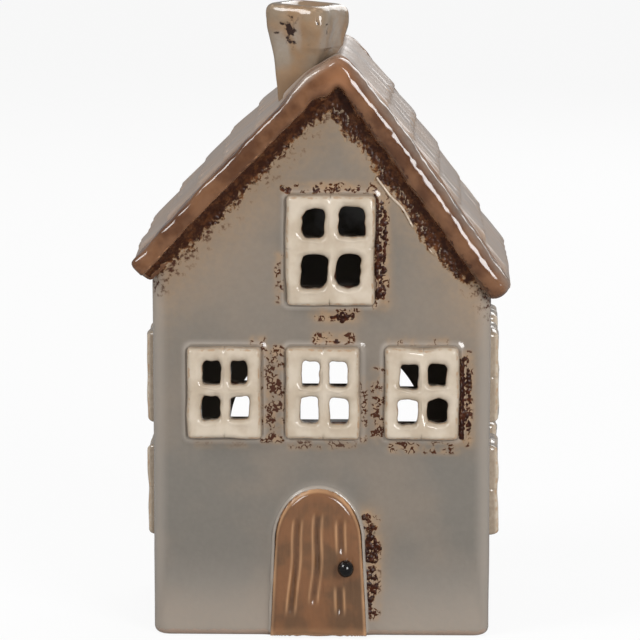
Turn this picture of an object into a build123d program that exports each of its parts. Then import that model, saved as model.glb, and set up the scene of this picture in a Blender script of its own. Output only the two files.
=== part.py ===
from build123d import *

import os
from collections import namedtuple
from math import atan, cos, degrees, radians, sin, tan

# Tealight house: a small hand-built stoneware cottage that holds one tealight.
# Clay slabs make the floor, the four walls and the two slopes of the roof. The chimney, the
# bargeboards, the pierced window frames and the door are cut out separately and luted on.
# The tealight goes in and out through the arched doorway in the rear wall.
# Millimetres. X is the width, -Y the front, +Z up. The origin is the middle of the underside.

# Body
body_width = 108.0
body_depth = 86.0
wall = 6.0
floor_thickness = 6.0
corner_radius = 5.4
foot_radius = 2.4

# Roof: crooked on purpose, with its ridge right of the middle and a steeper right slope. The slope's
# height is that of its top surface over the right wall's outer face.
ridge_x = 6.4
right_slope_height = 124.27
left_pitch = 46.0
right_pitch = 54.5
left_overhang = 7.0
right_overhang = 7.4
roof_thickness = 7.6
ridge_radius = 7.0
eave_top_radius = 3.4
eave_under_radius = 2.6

# Round-tailed tiles pressed up out of the slopes
course_count = 6
tile_count = 6
tile_lift = 1.1
tile_body = 2.6
tile_round = 3.4
tile_notch = 0.6
tile_eave_margin = 7.8
tile_ridge_margin = 9.0
tile_verge_margin = 1.6

# Bargeboards: thicker than the slabs, so that they hang below them
barge_thickness = 9.0
barge_depth = 6.5
barge_edge = 1.8
barge_inner_radius = 4.5

# Window frames
frame_proud = 4.0
frame_corner = 1.4
frame_edge = 1.1
pane_corner = 1.5
pane_edge = 0.7
small_width = 24.0
small_height = 30.0
small_stile = 4.3
small_top_rail = 4.6
small_bottom_rail = 5.6
small_muntin = 3.4
small_transom = 4.0
attic_width = 28.5
attic_height = 35.5
attic_stile = 4.8
attic_top_rail = 4.2
attic_bottom_rail = 5.9
attic_muntin = 3.4
attic_transom = 5.3
attic_x = 2.9
attic_below_ridge = 65.5
row_x = 0.6

# Window places that keep to the walls: pitches by the width and the depth, heights by the slope's height
row_pitch_share = 0.2917
side_pitch_share = 0.4419
row_height_share = 0.6405
side_upper_share = 0.6647
side_lower_share = 0.3669

# Door
door_x = -0.8
door_lift = 0.4
door_proud = 4.0
door_foot_width = 31.0
door_spring_width = 28.0
door_spring_z = 31.0
door_top_z = 48.6
door_edge = 1.1
door_foot_corner = 2.2
gouge_width = 3.0
gouge_depth = 0.9
gouge_pitch = 7.3
gouge_foot = 8.0
gouge_head = 7.6
gouge_side_head = 9.6
knob_right = 8.8
knob_z = 23.4
knob_half_width = 2.7
knob_half_height = 3.5
knob_proud = 4.6
knob_bevel = 1.4
knob_clearance = 1.6

# Rear doorway
arch_radius = 33.5
arch_spring_z = 52.0

# Chimney: sizes of its square sections, and how far each lies below the chimney's top
chimney_left = 10.8
chimney_setback = 16.4
chimney_turn = -26.0
chimney_above_ridge = 12.0
chimney_root_width = 12.6
chimney_waist_width = 16.6
chimney_neck_width = 18.4
chimney_lip_width = 22.2
chimney_root_below = 37.0
chimney_waist_below = 15.0
chimney_neck_below = 9.6
chimney_lip_below = 5.6
chimney_corner = 3.2
chimney_lip_radius = 2.5
flue_width = 9.0
flue_corner = 2.4
flue_lip = 1.2

# Tealight
cup_radius = 19.0
cup_height = 15.0
cup_wall = 0.3
cup_chamfer = 0.8
cup_rim = 0.5
cup_rim_height = 0.9
wax_height = 11.5
wax_gap = 0.1
wick_radius = 0.75
wick_free_length = 6.5
wick_bend_radius = 14.0
sustainer_radius = 6.0
sustainer_thickness = 0.4
crimp_radius = 1.5
crimp_height = 3.6
insert_gap = 0.05

overrun = 5.0
near_share = 0.02
round_limit_share = 0.44
edge_limit_share = 0.8

half_width = body_width / 2
half_depth = body_depth / 2
inner_half_width = half_width - wall
inner_half_depth = half_depth - wall
left_slope = radians(left_pitch)
right_slope = radians(right_pitch)
ridge_z = right_slope_height + (half_width - ridge_x) * tan(right_slope)
tolerance = wall * near_share
row_z = right_slope_height * row_height_share
row_pitch = body_width * row_pitch_share
side_pitch = body_depth * side_pitch_share
side_upper_z = right_slope_height * side_upper_share
side_lower_z = right_slope_height * side_lower_share

Window = namedtuple("Window", "name plane width height stile top bottom muntin transom")


def small_window(name, plane):
    """One of the frames that share the small size, on the plane that its back lies against."""
    return Window(
        name,
        plane,
        small_width,
        small_height,
        small_stile,
        small_top_rail,
        small_bottom_rail,
        small_muntin,
        small_transom,
    )


def front_plane(x, z):
    """The front wall's outer face, seen from outside, with its origin at x, z."""
    return Plane(origin=(x, -half_depth, z), x_dir=(1, 0, 0), z_dir=(0, -1, 0))


def side_plane(side, y, z):
    """A side wall's outer face, seen from outside. The side is 1 on the right and -1 on the left."""
    return Plane(origin=(side * half_width, y, z), x_dir=(0, side, 0), z_dir=(side, 0, 0))


attic_window = Window(
    "attic_window",
    front_plane(attic_x, ridge_z - attic_below_ridge),
    attic_width,
    attic_height,
    attic_stile,
    attic_top_rail,
    attic_bottom_rail,
    attic_muntin,
    attic_transom,
)
front_windows = [attic_window]
for place, step in (("left", -1), ("middle", 0), ("right", 1)):
    spot = front_plane(row_x + step * row_pitch, row_z)
    front_windows.append(small_window(f"front_window_{place}", spot))
side_windows = {"left": [], "right": []}
for place, side in (("left", -1), ("right", 1)):
    for storey, z in (("upper", side_upper_z), ("lower", side_lower_z)):
        for end, y in (("front", -side_pitch / 2), ("rear", side_pitch / 2)):
            name = f"{place}_window_{storey}_{end}"
            side_windows[place].append(small_window(name, side_plane(side, y, z)))


def roof_line(x):
    """Height at x of the slopes' top surface, without its tiles."""
    pitch = left_slope if x < ridge_x else right_slope
    return ridge_z - abs(x - ridge_x) * tan(pitch)


def inner_ridge(thickness):
    """Where the undersides of two slabs of one thickness meet below the ridge."""
    shift = thickness * (1 / cos(left_slope) - 1 / cos(right_slope)) / (tan(left_slope) + tan(right_slope))
    return ridge_x + shift, ridge_z + shift * tan(left_slope) - thickness / cos(left_slope)


def roof_underside(x):
    """Height at x of the slabs' underside, which the walls carry."""
    pitch = left_slope if x < inner_ridge(roof_thickness)[0] else right_slope
    return roof_line(x) - roof_thickness / cos(pitch)


def slope_section(thickness, left_reach, right_reach):
    """Corners of a bent slab: left eave, ridge and right eave on top, then the same three below."""
    left_top = (-half_width - left_reach, roof_line(-half_width - left_reach))
    right_top = (half_width + right_reach, roof_line(half_width + right_reach))
    left_under = (left_top[0] + thickness * sin(left_slope), left_top[1] - thickness * cos(left_slope))
    right_under = (right_top[0] - thickness * sin(right_slope), right_top[1] - thickness * cos(right_slope))
    return [left_top, (ridge_x, ridge_z), right_top, right_under, inner_ridge(thickness), left_under]


def edges_at(part, corner):
    """The edges along Y that start from one corner of a slope's section."""
    return [
        edge
        for edge in part.edges().filter_by(Axis.Y)
        if abs(edge.center().X - corner[0]) < tolerance and abs(edge.center().Z - corner[1]) < tolerance
    ]


def pane_places(window):
    """Width and height of a pane, and the four pane centres on the window's plane."""
    pane_width = (window.width - 2 * window.stile - window.muntin) / 2
    pane_height = (window.height - window.top - window.bottom - window.transom) / 2
    across = (pane_width + window.muntin) / 2
    low = (pane_height - window.height) / 2 + window.bottom
    high = low + pane_height + window.transom
    return pane_width, pane_height, [(x, y) for x in (-across, across) for y in (low, high)]


def pierce_wall(window):
    """Cuts a window's four panes square through the wall being built."""
    pane_width, pane_height, places = pane_places(window)
    with BuildSketch(window.plane.offset(-wall - overrun)) as panes:
        with Locations(*places):
            Rectangle(pane_width, pane_height)
    extrude(panes.sketch, amount=wall + 2 * overrun, mode=Mode.SUBTRACT)


def keep(part, name):
    """Labels a finished piece and writes it to its own file."""
    part.label = name
    export_step(part, f"parts/{name}.step")


os.makedirs("parts", exist_ok=True)

# Floor: a slab between the four walls, level with the doorway's sill
with BuildPart() as floor_slab:
    with BuildSketch():
        Rectangle(2 * inner_half_width, 2 * inner_half_depth)
    extrude(amount=floor_thickness)
keep(floor_slab.part, "floor_slab")

# Front wall: a gable as wide as the house, pierced for the attic window and the row of three
gable_corners = [
    (-half_width, 0),
    (half_width, 0),
    (half_width, roof_underside(half_width)),
    inner_ridge(roof_thickness),
    (-half_width, roof_underside(-half_width)),
]
corner_round = min(corner_radius, wall * edge_limit_share)
with BuildPart() as front_wall:
    with BuildSketch(Plane.XZ.offset(inner_half_depth)):
        with BuildLine():
            Polyline(*gable_corners, close=True)
        make_face()
    extrude(amount=wall)
    fillet(front_wall.edges().filter_by(Axis.Z).sort_by(Axis.Y)[:2], corner_round)
    fillet(front_wall.edges().group_by(Axis.Z)[0].sort_by(Axis.Y)[:-1], foot_radius)
    for window in front_windows:
        pierce_wall(window)
keep(front_wall.part, "front_wall")

# Rear wall: the same gable, with the arched doorway down to the floor's level
with BuildPart() as rear_wall:
    with BuildSketch(Plane.XZ.offset(-half_depth)):
        with BuildLine():
            Polyline(*gable_corners, close=True)
        make_face()
    extrude(amount=wall)
    fillet(rear_wall.edges().filter_by(Axis.Z).sort_by(Axis.Y)[-2:], corner_round)
    fillet(rear_wall.edges().group_by(Axis.Z)[0].sort_by(Axis.Y)[1:], foot_radius)
    with BuildSketch(Plane.XZ.offset(-half_depth - overrun)):
        with BuildLine():
            Polyline(
                (-arch_radius, arch_spring_z),
                (-arch_radius, floor_thickness),
                (arch_radius, floor_thickness),
                (arch_radius, arch_spring_z),
            )
            CenterArc((0, arch_spring_z), arch_radius, 0, 180)
        make_face()
    extrude(amount=wall + 2 * overrun, mode=Mode.SUBTRACT)
keep(rear_wall.part, "rear_wall")

# Side walls: slabs between the gables, bevelled on top to carry the slopes
for place, side in (("left", -1), ("right", 1)):
    with BuildPart() as side_wall:
        with BuildSketch(Plane.XZ.offset(-inner_half_depth)):
            with BuildLine():
                Polyline(
                    (side * half_width, 0),
                    (side * inner_half_width, 0),
                    (side * inner_half_width, roof_underside(side * inner_half_width)),
                    (side * half_width, roof_underside(side * half_width)),
                    close=True,
                )
            make_face()
        extrude(amount=2 * inner_half_depth)
        foot_edges = side_wall.edges().group_by(Axis.Z)[0].sort_by(Axis.X)
        fillet(foot_edges[-1 if side > 0 else 0], foot_radius)
        for window in side_windows[place]:
            pierce_wall(window)
    keep(side_wall.part, f"{place}_wall")

# Roof: one bent slab over the walls, rounded along the ridge and the eaves, and cut at the mitre
roof_corners = slope_section(roof_thickness, left_overhang, right_overhang)
mitre = Vector(ridge_x - roof_corners[4][0], 0, ridge_z - roof_corners[4][1]).normalized()
mitre_plane = Plane(origin=(ridge_x, 0, ridge_z), x_dir=(0, 1, 0), z_dir=(mitre.Z, 0, -mitre.X))
ridge_round = min(ridge_radius, roof_thickness)
with BuildPart() as bent_slab:
    with BuildSketch(Plane.XZ.offset(-half_depth)):
        with BuildLine():
            Polyline(*roof_corners, close=True)
        make_face()
    extrude(amount=body_depth)
    fillet(edges_at(bent_slab.part, roof_corners[1]), ridge_round)
    for corner in (roof_corners[0], roof_corners[2]):
        fillet(edges_at(bent_slab.part, corner), min(eave_top_radius, roof_thickness * round_limit_share))
    for corner in (roof_corners[3], roof_corners[5]):
        fillet(edges_at(bent_slab.part, corner), min(eave_under_radius, roof_thickness * round_limit_share))

# The space under the roof's top surface, which the chimney's foot is cut back from
with BuildPart() as under_roof:
    with BuildSketch(Plane.XZ.offset(-half_depth - overrun)):
        with BuildLine():
            Polyline(roof_corners[0], roof_corners[1], roof_corners[2], (ridge_x, 0), close=True)
        make_face()
    extrude(amount=body_depth + 2 * overrun)
    fillet(edges_at(under_roof.part, roof_corners[1]), ridge_round)

# Chimney: square, hollow and flared to a rolled lip, standing on the left slope beside the ridge
chimney_top = Plane(
    origin=(ridge_x - chimney_left, chimney_setback - half_depth, ridge_z + chimney_above_ridge),
    x_dir=(cos(radians(chimney_turn)), sin(radians(chimney_turn)), 0),
)
chimney_root = chimney_top.offset(-chimney_root_below)
with BuildPart() as chimney:
    for below, width in (
        (chimney_root_below, chimney_root_width),
        (chimney_waist_below, chimney_waist_width),
        (chimney_neck_below, chimney_neck_width),
        (chimney_lip_below, chimney_lip_width),
        (0, chimney_lip_width),
    ):
        with BuildSketch(chimney_top.offset(-below)):
            RectangleRounded(width, width, chimney_corner)
    loft(ruled=True)
    with BuildSketch(chimney_root.offset(-overrun)):
        RectangleRounded(flue_width, flue_width, flue_corner)
    extrude(amount=chimney_root_below + 2 * overrun, mode=Mode.SUBTRACT)
    mouth = chimney.faces().sort_by(Axis.Z)[-1]
    chamfer(mouth.inner_wires()[0].edges(), flue_lip)
    mouth = chimney.faces().sort_by(Axis.Z)[-1]
    fillet(mouth.outer_wire().edges(), min(chimney_lip_radius, chimney_corner * edge_limit_share))
    add(under_roof.part, mode=Mode.SUBTRACT)
keep(chimney.part, "chimney")


def tile_course(side, below):
    """Plane of a course's top face, with its origin below the ridge by a distance down the slope.

    The course lies against the slope at its head and lifts off it by tile_lift at its tails.
    """
    pitch = left_slope if side < 0 else right_slope
    up_slope = Vector(-side * cos(pitch), 0, sin(pitch))
    outward = Vector(side * sin(pitch), 0, cos(pitch))
    tilt = atan(tile_lift / course_length(side))
    along = up_slope * cos(tilt) - outward * sin(tilt)
    across = Vector(0, side, 0)
    tails = Vector(ridge_x, 0, ridge_z) - up_slope * below + outward * tile_lift
    return Plane(origin=tails, x_dir=across, z_dir=across.cross(along))


def course_length(side):
    """How much of each course shows, so that the courses fill the slope between their margins."""
    reach = half_width + (left_overhang + ridge_x if side < 0 else right_overhang - ridge_x)
    run = reach / cos(left_slope if side < 0 else right_slope)
    return (run - tile_eave_margin - tile_ridge_margin) / course_count


# Slopes: the two halves of the bent slab, each with its courses of round-tailed tiles
field_width = body_depth - 2 * tile_verge_margin
tile_width = field_width / tile_count
tile_radius = (tile_width**2 / 4 + tile_round**2) / (2 * tile_round)
for place, side in (("left", -1), ("right", 1)):
    length = course_length(side)
    with BuildPart() as slope:
        add(bent_slab.part)
        split(bisect_by=mitre_plane, keep=Keep.BOTTOM if side < 0 else Keep.TOP)
        for course in range(course_count):
            tails_in_row = tile_count + (course + 1) % 2
            with BuildSketch(tile_course(side, tile_ridge_margin + (course + 1) * length)):
                with Locations((0, tile_radius - tile_round)):
                    with GridLocations(tile_width, 0, tails_in_row, 1):
                        Circle(tile_radius)
                with Locations((0, (length - tile_notch) / 2)):
                    Rectangle(field_width, length + tile_notch)
                with Locations((0, (length - tile_round) / 2)):
                    Rectangle(field_width, length + tile_round, mode=Mode.INTERSECT)
            extrude(amount=-tile_body)
        if side < 0:
            with BuildSketch(chimney_root.offset(-overrun)):
                RectangleRounded(flue_width, flue_width, flue_corner)
            extrude(amount=chimney_root_below, mode=Mode.SUBTRACT)
            add(chimney.part, mode=Mode.SUBTRACT)
    keep(slope.part, f"roof_{place}")

# Bargeboards: rolled strips that close the slabs' ends at the front and the rear
barge_corners = slope_section(barge_thickness, left_overhang, right_overhang)
barge_limit = barge_thickness * round_limit_share
for end, back_y in (("front", -half_depth), ("rear", half_depth + barge_depth)):
    with BuildPart() as barge_pair:
        with BuildSketch(Plane.XZ.offset(-back_y)):
            with BuildLine():
                Polyline(*barge_corners, close=True)
            make_face()
        extrude(amount=barge_depth)
        fillet(edges_at(barge_pair.part, barge_corners[1]), ridge_round)
        fillet(edges_at(barge_pair.part, barge_corners[4]), barge_inner_radius)
        for corner in (barge_corners[0], barge_corners[2]):
            fillet(edges_at(barge_pair.part, corner), min(eave_top_radius, barge_limit))
        for corner in (barge_corners[3], barge_corners[5]):
            fillet(edges_at(barge_pair.part, corner), min(eave_under_radius, barge_limit))
        shown_face = barge_pair.faces().sort_by(Axis.Y)[0 if end == "front" else -1]
        chamfer(shown_face.edges(), min(barge_edge, eave_under_radius * edge_limit_share))
    for place, half in (("left", Keep.BOTTOM), ("right", Keep.TOP)):
        with BuildPart() as bargeboard:
            add(barge_pair.part)
            split(bisect_by=mitre_plane, keep=half)
        keep(bargeboard.part, f"{end}_bargeboard_{place}")

# Window frames: thick slabs with pared edges, pierced in line with the wall behind them
for window in front_windows + side_windows["left"] + side_windows["right"]:
    outward = Axis(window.plane.origin, window.plane.z_dir)
    with BuildPart() as frame:
        with BuildSketch(window.plane) as outline:
            Rectangle(window.width, window.height)
            chamfer(outline.vertices(), frame_corner)
        extrude(amount=frame_proud)
        chamfer(frame.faces().sort_by(outward)[-1].edges(), frame_edge)
        pane_width, pane_height, places = pane_places(window)
        with BuildSketch(window.plane) as panes:
            with Locations(*places):
                Rectangle(pane_width, pane_height)
            chamfer(panes.vertices(), pane_corner)
        extrude(amount=frame_proud, mode=Mode.SUBTRACT)
        for pane in frame.faces().sort_by(outward)[-1].inner_wires():
            chamfer(pane.edges(), pane_edge)
    keep(frame.part, window.name)

# Door: an arched slab on the front wall, its plank joints gouged out before it dried
door_half_foot = door_foot_width / 2
door_half_spring = door_spring_width / 2
left_spring = (-door_half_spring, door_spring_z)
right_spring = (door_half_spring, door_spring_z)
door_back = front_plane(door_x, 0)
with BuildPart() as door:
    with BuildSketch(door_back) as door_outline:
        with BuildLine():
            Polyline(
                left_spring,
                (-door_half_foot, door_lift),
                (door_half_foot, door_lift),
                right_spring,
            )
            ThreePointArc(right_spring, (0, door_top_z), left_spring)
        make_face()
        fillet(door_outline.vertices().group_by(Axis.Y)[0], door_foot_corner)
    extrude(amount=door_proud)
    chamfer(door.faces().sort_by(Axis.Y)[0].edges(), min(door_edge, door_foot_corner * edge_limit_share))
    knob_low = knob_z - knob_half_height - knob_clearance
    knob_high = knob_z + knob_half_height + knob_clearance
    gouges = (
        (-gouge_pitch, gouge_foot, door_top_z - gouge_side_head),
        (0, gouge_foot, door_top_z - gouge_head),
        (gouge_pitch, gouge_foot, knob_low),
        (gouge_pitch, knob_high, door_top_z - gouge_side_head),
    )
    with BuildSketch(door_back.offset(door_proud - gouge_depth)):
        for x, low, high in gouges:
            with Locations((x, (low + high) / 2)):
                SlotOverall(high - low, gouge_width, rotation=90)
    extrude(amount=gouge_depth, mode=Mode.SUBTRACT)
keep(door.part, "door")

# Door knob: an upright oval bead with a bevelled face, stuck to the door
knob_seat = front_plane(door_x + knob_right, knob_z).offset(door_proud)
with BuildPart() as door_knob:
    with BuildSketch(knob_seat):
        Ellipse(knob_half_width, knob_half_height)
    extrude(amount=knob_proud)
    chamfer(door_knob.faces().sort_by(Axis.Y)[0].edges(), knob_bevel)
keep(door_knob.part, "door_knob")

# Tealight: a chamfered cup with a rolled rim, filled with wax round a wick in its sustainer
cup_inside = cup_radius - cup_wall
with BuildPart() as tealight_cup:
    with BuildSketch(Plane.XZ):
        with BuildLine():
            Polyline(
                (0, floor_thickness),
                (cup_radius - cup_chamfer, floor_thickness),
                (cup_radius, floor_thickness + cup_chamfer),
                (cup_radius, floor_thickness + cup_height - cup_rim_height),
                (cup_radius + cup_rim, floor_thickness + cup_height - cup_rim_height),
                (cup_radius + cup_rim, floor_thickness + cup_height),
                (cup_inside, floor_thickness + cup_height),
                (cup_inside, floor_thickness + cup_wall + cup_chamfer),
                (cup_inside - cup_chamfer, floor_thickness + cup_wall),
                (0, floor_thickness + cup_wall),
                close=True,
            )
        make_face()
    revolve(axis=Axis.Z)
keep(tealight_cup.part, "tealight_cup")

base_z = floor_thickness + cup_wall
wax_top = base_z + wax_height
with BuildPart() as tealight_wax:
    with BuildSketch(Plane.XZ):
        with BuildLine():
            Polyline(
                (wick_radius + insert_gap, wax_top),
                (cup_inside - wax_gap, wax_top),
                (cup_inside - wax_gap, base_z + cup_chamfer),
                (cup_inside - wax_gap - cup_chamfer, base_z),
                (sustainer_radius + insert_gap, base_z),
                (sustainer_radius + insert_gap, base_z + sustainer_thickness + insert_gap),
                (crimp_radius + insert_gap, base_z + sustainer_thickness + insert_gap),
                (crimp_radius + insert_gap, base_z + crimp_height + insert_gap),
                (wick_radius + insert_gap, base_z + crimp_height + insert_gap),
                close=True,
            )
        make_face()
    revolve(axis=Axis.Z)
keep(tealight_wax.part, "tealight_wax")

with BuildPart() as wick_sustainer:
    with BuildSketch(Plane.XZ):
        with BuildLine():
            Polyline(
                (0, base_z),
                (sustainer_radius, base_z),
                (sustainer_radius, base_z + sustainer_thickness),
                (crimp_radius, base_z + sustainer_thickness),
                (crimp_radius, base_z + crimp_height),
                (0, base_z + crimp_height),
                close=True,
            )
        make_face()
    revolve(axis=Axis.Z)
keep(wick_sustainer.part, "wick_sustainer")

with BuildPart() as tealight_wick:
    with BuildSketch(Plane.XY.offset(base_z + crimp_height)):
        Circle(wick_radius)
    extrude(amount=wax_height - crimp_height)
    with BuildSketch(Plane.XY.offset(wax_top)):
        Circle(wick_radius)
    bend = Axis((wick_bend_radius, 0, wax_top), (0, 1, 0))
    revolve(axis=bend, revolution_arc=degrees(wick_free_length / wick_bend_radius))
keep(tealight_wick.part, "tealight_wick")
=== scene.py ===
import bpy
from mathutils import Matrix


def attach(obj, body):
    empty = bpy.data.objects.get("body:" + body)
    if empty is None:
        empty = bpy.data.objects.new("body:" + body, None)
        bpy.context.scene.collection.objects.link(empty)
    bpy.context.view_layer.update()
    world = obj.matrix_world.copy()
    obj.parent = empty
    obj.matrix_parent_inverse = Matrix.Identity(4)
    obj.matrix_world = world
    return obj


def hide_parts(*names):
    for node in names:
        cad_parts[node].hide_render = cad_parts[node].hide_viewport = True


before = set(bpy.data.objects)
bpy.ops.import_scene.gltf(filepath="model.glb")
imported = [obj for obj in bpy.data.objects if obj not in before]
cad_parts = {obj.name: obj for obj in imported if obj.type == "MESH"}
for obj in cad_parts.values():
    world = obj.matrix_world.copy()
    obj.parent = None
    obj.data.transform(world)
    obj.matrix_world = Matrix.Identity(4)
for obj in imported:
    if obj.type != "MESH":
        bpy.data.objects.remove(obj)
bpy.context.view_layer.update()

from collections import namedtuple
from math import cos, pi, radians, sin, tan

import bmesh
import bpy
import numpy as np
from mathutils import Vector

# Front wall: one slab of stoneware under a glossy grey-taupe glaze, rounded round the two front
# corners and the foot by the potter's thumb, with its windows cut right through while soft.
mm = 0.001
half_width, half_depth, wall = 54.0, 43.0, 6.0
corner_radius, foot_radius = 5.4, 2.4
ridge_x, ridge_z = 6.4, 191.0
left_pitch, right_pitch = radians(46.0), radians(54.5)
roof_thickness, barge_thickness = 7.6, 9.0
wall_cell, gable_top = 0.75, 180.0
wall_wander, pane_gap = 0.22, 0.15
pool_height, pool_reach = 0.8, 0.85
frame_rounding, frame_pool_gap = 1.4, 0.6
door_pool, door_pool_reach = 0.6, 1.5

Window = namedtuple("Window", "across z width height stile top bottom muntin transom")
small_frame = (24.0, 30.0, 4.3, 4.6, 5.6, 3.4, 4.0)
row_z = 79.6
windows = {
    "attic_window": Window(2.9, 125.5, 28.5, 35.5, 4.8, 4.2, 5.9, 3.4, 5.3),
    "front_window_left": Window(-30.9, row_z, *small_frame),
    "front_window_middle": Window(0.6, row_z, *small_frame),
    "front_window_right": Window(32.1, row_z, *small_frame),
}
# Each pane as it was cut: low x, high x, low z, high z, and how far its sides lean.
pane_boxes = {
    "attic_window": [
        (-6.6, 2.3, 113.5, 124.1, 0.1),
        (-5.9, 1.3, 129.5, 139.1, 0.0),
        (4.8, 12.7, 113.9, 124.1, 0.05),
        (5.5, 13.7, 129.9, 139.4, -0.04),
    ],
    "front_window_left": [
        (-38.2, -32.1, 70.6, 78.7, 0.03),
        (-37.8, -32.0, 82.2, 90.0, 0.0),
        (-29.0, -23.0, 70.8, 78.5, 0.02),
        (-28.9, -23.5, 82.6, 90.0, -0.03),
    ],
    "front_window_middle": [
        (-6.6, -0.9, 70.0, 78.5, 0.0),
        (-6.3, -0.6, 81.7, 90.0, 0.03),
        (2.6, 8.7, 70.1, 78.0, -0.02),
        (2.6, 8.7, 81.7, 90.0, 0.0),
    ],
    "front_window_right": [
        (24.4, 31.0, 69.5, 77.5, 0.04),
        (24.9, 30.9, 80.9, 89.0, 0.0),
        (33.8, 40.1, 70.0, 77.7, -0.03),
        (34.1, 39.8, 81.9, 89.3, 0.02),
    ],
}
door_x, door_lift, door_spring_z, door_top_z = -0.8, 0.4, 31.0, 48.6
door_foot, door_spring, door_proud = 15.5, 14.0, 4.0
# Where iron shows through as brown lace: low x, high x, low z, high z, and how strongly.
lace_patches = [
    (17.2, 20.8, 107.0, 144.0, 1.0),
    (-12.0, 17.5, 144.4, 146.4, 0.9),
    (-14.2, -12.6, 109.0, 124.0, 0.8),
    (-3.0, 12.0, 103.4, 106.2, 0.9),
    (-19.0, -16.6, 64.0, 94.0, 0.95),
    (-15.4, -12.4, 64.0, 94.0, 0.95),
    (-2.0, 10.0, 96.0, 98.2, 1.0),
    (-10.0, 11.0, 61.8, 63.6, 0.6),
    (13.0, 14.4, 64.0, 84.0, 0.7),
    (16.6, 20.0, 64.0, 87.0, 1.0),
    (44.6, 47.6, 63.0, 92.5, 1.0),
    (22.0, 44.0, 60.6, 63.2, 0.9),
    (22.0, 40.0, 95.6, 96.8, 0.6),
    (-22.0, -18.0, 95.4, 97.0, 0.7),
    (-40.0, -24.0, 62.2, 63.4, 0.4),
    (15.0, 18.6, 6.0, 41.0, 0.7),
]
# Where the glaze boiled into a crust: low x, high x, low z, high z, and how far it spread past them.
crust_patches = [
    (16.8, 20.6, 108.5, 142.5, 0.25),
    (-2.5, 12.5, 144.4, 145.6, 0.15),
    (-12.5, -8.5, 144.4, 145.4, -0.1),
    (0.5, 10.5, 103.4, 105.0, 0.25),
    (43.7, 47.2, 64.0, 91.5, 0.1),
    (2.0, 7.5, 95.6, 96.8, 0.1),
    (13.6, 15.4, 37.2, 40.6, 0.7),
    (15.0, 16.4, 33.6, 36.0, 0.6),
    (14.4, 17.7, 25.2, 32.2, 0.9),
    (14.9, 18.0, 15.8, 23.2, 0.9),
    (15.4, 16.8, 7.2, 16.4, 0.8),
]
patch_rounding = 0.5


def scrambled(mixed):
    """Whole numbers stirred within 32 bits, so that neighbours no longer look alike."""
    return (mixed ^ mixed >> 13) * 1274126177 & 0xFFFFFFFF


def lattice_noise(points, size, seed):
    """Smooth noise from -1 to 1: random values on a cubic lattice, blended by eased weights."""
    place = points / size
    cell = np.floor(place).astype(np.int64)
    share = place - cell
    share = share * share * (3 - 2 * share)
    total = np.zeros(points.shape[:-1])
    for corner in range(8):
        step = np.array([corner & 1, corner >> 1 & 1, corner >> 2 & 1])
        at = cell + step
        mixed = at[..., 0] * 73856093 ^ at[..., 1] * 19349663 ^ at[..., 2] * 83492791 ^ seed * 40503
        mixed = scrambled(mixed)
        value = ((mixed ^ mixed >> 15) & 0xFFFF) / 32767.5 - 1
        total += value * np.prod(np.where(step == 1, share, 1 - share), axis=-1)
    return total


def layered(points, *layers):
    """Sum of noises, each given by its height, its size and its seed."""
    return sum(height * lattice_noise(points, size, seed) for height, size, seed in layers)


def wander(points, seed=1):
    """Unevenness of a hand-pressed slab: three sizes of noise, each smaller one weaker."""
    return layered(points, (0.6, 31.0, seed), (0.3, 12.0, seed + 1), (0.1, 4.5, seed + 2))


def upright(x, z, y=0.0):
    """Points from their x and z, which stand in the middle plane or at a y."""
    return np.stack([x, y + 0 * x, z], -1)


def round_turn(count):
    """Angles of so many points, spaced evenly round a circle."""
    return np.linspace(0, 2 * pi, count + 1)[:-1]


def shoulder(distance, radius, power=2.0):
    """Height of a rounded edge: 0 on the edge, 1 from radius inwards, on a superellipse."""
    return (1 - (1 - np.clip(distance / radius, 0, 1)) ** power) ** (1 / power)


def ease(value, low, high):
    """Smooth step from 0 at low to 1 at high, which may lie either way round."""
    share = np.clip((value - low) / (high - low), 0, 1)
    return share * share * (3 - 2 * share)


def bell(value, middle, reach):
    """Bell curve: 1 at the middle, about a third a reach away, and next to nothing at two."""
    return np.exp(-(((value - middle) / reach) ** 2))


def underside(x, thickness):
    """Height of the underside of roof slabs of a thickness: the lower of the two slopes' lines."""
    left = ridge_z - (ridge_x - x) * tan(left_pitch) - thickness / cos(left_pitch)
    right = ridge_z - (x - ridge_x) * tan(right_pitch) - thickness / cos(right_pitch)
    return np.minimum(left, right)


def box_gap(x, z, box, rounding):
    """Distance outside a box whose corners are rounded; negative inside it."""
    out_x = np.abs(x - (box[0] + box[1]) / 2) - (box[1] - box[0]) / 2 + rounding
    out_z = np.abs(z - (box[2] + box[3]) / 2) - (box[3] - box[2]) / 2 + rounding
    beyond = np.hypot(np.clip(out_x, 0, None), np.clip(out_z, 0, None))
    return beyond + np.minimum(np.maximum(out_x, out_z), 0) - rounding


def door_half(z):
    """Half the door's width at a height: its jambs lean in from the foot to the spring of the arch."""
    return door_foot + (door_spring - door_foot) * np.clip(z / door_spring_z, 0, 1)


def door_gap(x, z):
    """About the distance outside the door's arch, which is half an ellipse over leaning jambs."""
    rise = (z - door_spring_z) / (door_top_z - door_spring_z)
    over = (np.hypot((x - door_x) / door_spring, rise) - 1) * door_spring
    return np.where(z > door_spring_z, over, np.abs(x - door_x) - door_half(z))


def pooled(x, z):
    """Strength from 0 to 1 of the glaze that gathered round the front frames and the door."""
    gaps = []
    for window in windows.values():
        half_x, half_z = window.width / 2, window.height / 2
        box = (window.across - half_x, window.across + half_x, window.z - half_z, window.z + half_z)
        gaps.append(box_gap(x, z, box, frame_rounding))
    at_frames = bell(np.minimum.reduce(gaps), frame_pool_gap, pool_reach)
    return np.maximum(at_frames, door_pool * bell(door_gap(x, z), 0, door_pool_reach))


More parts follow.
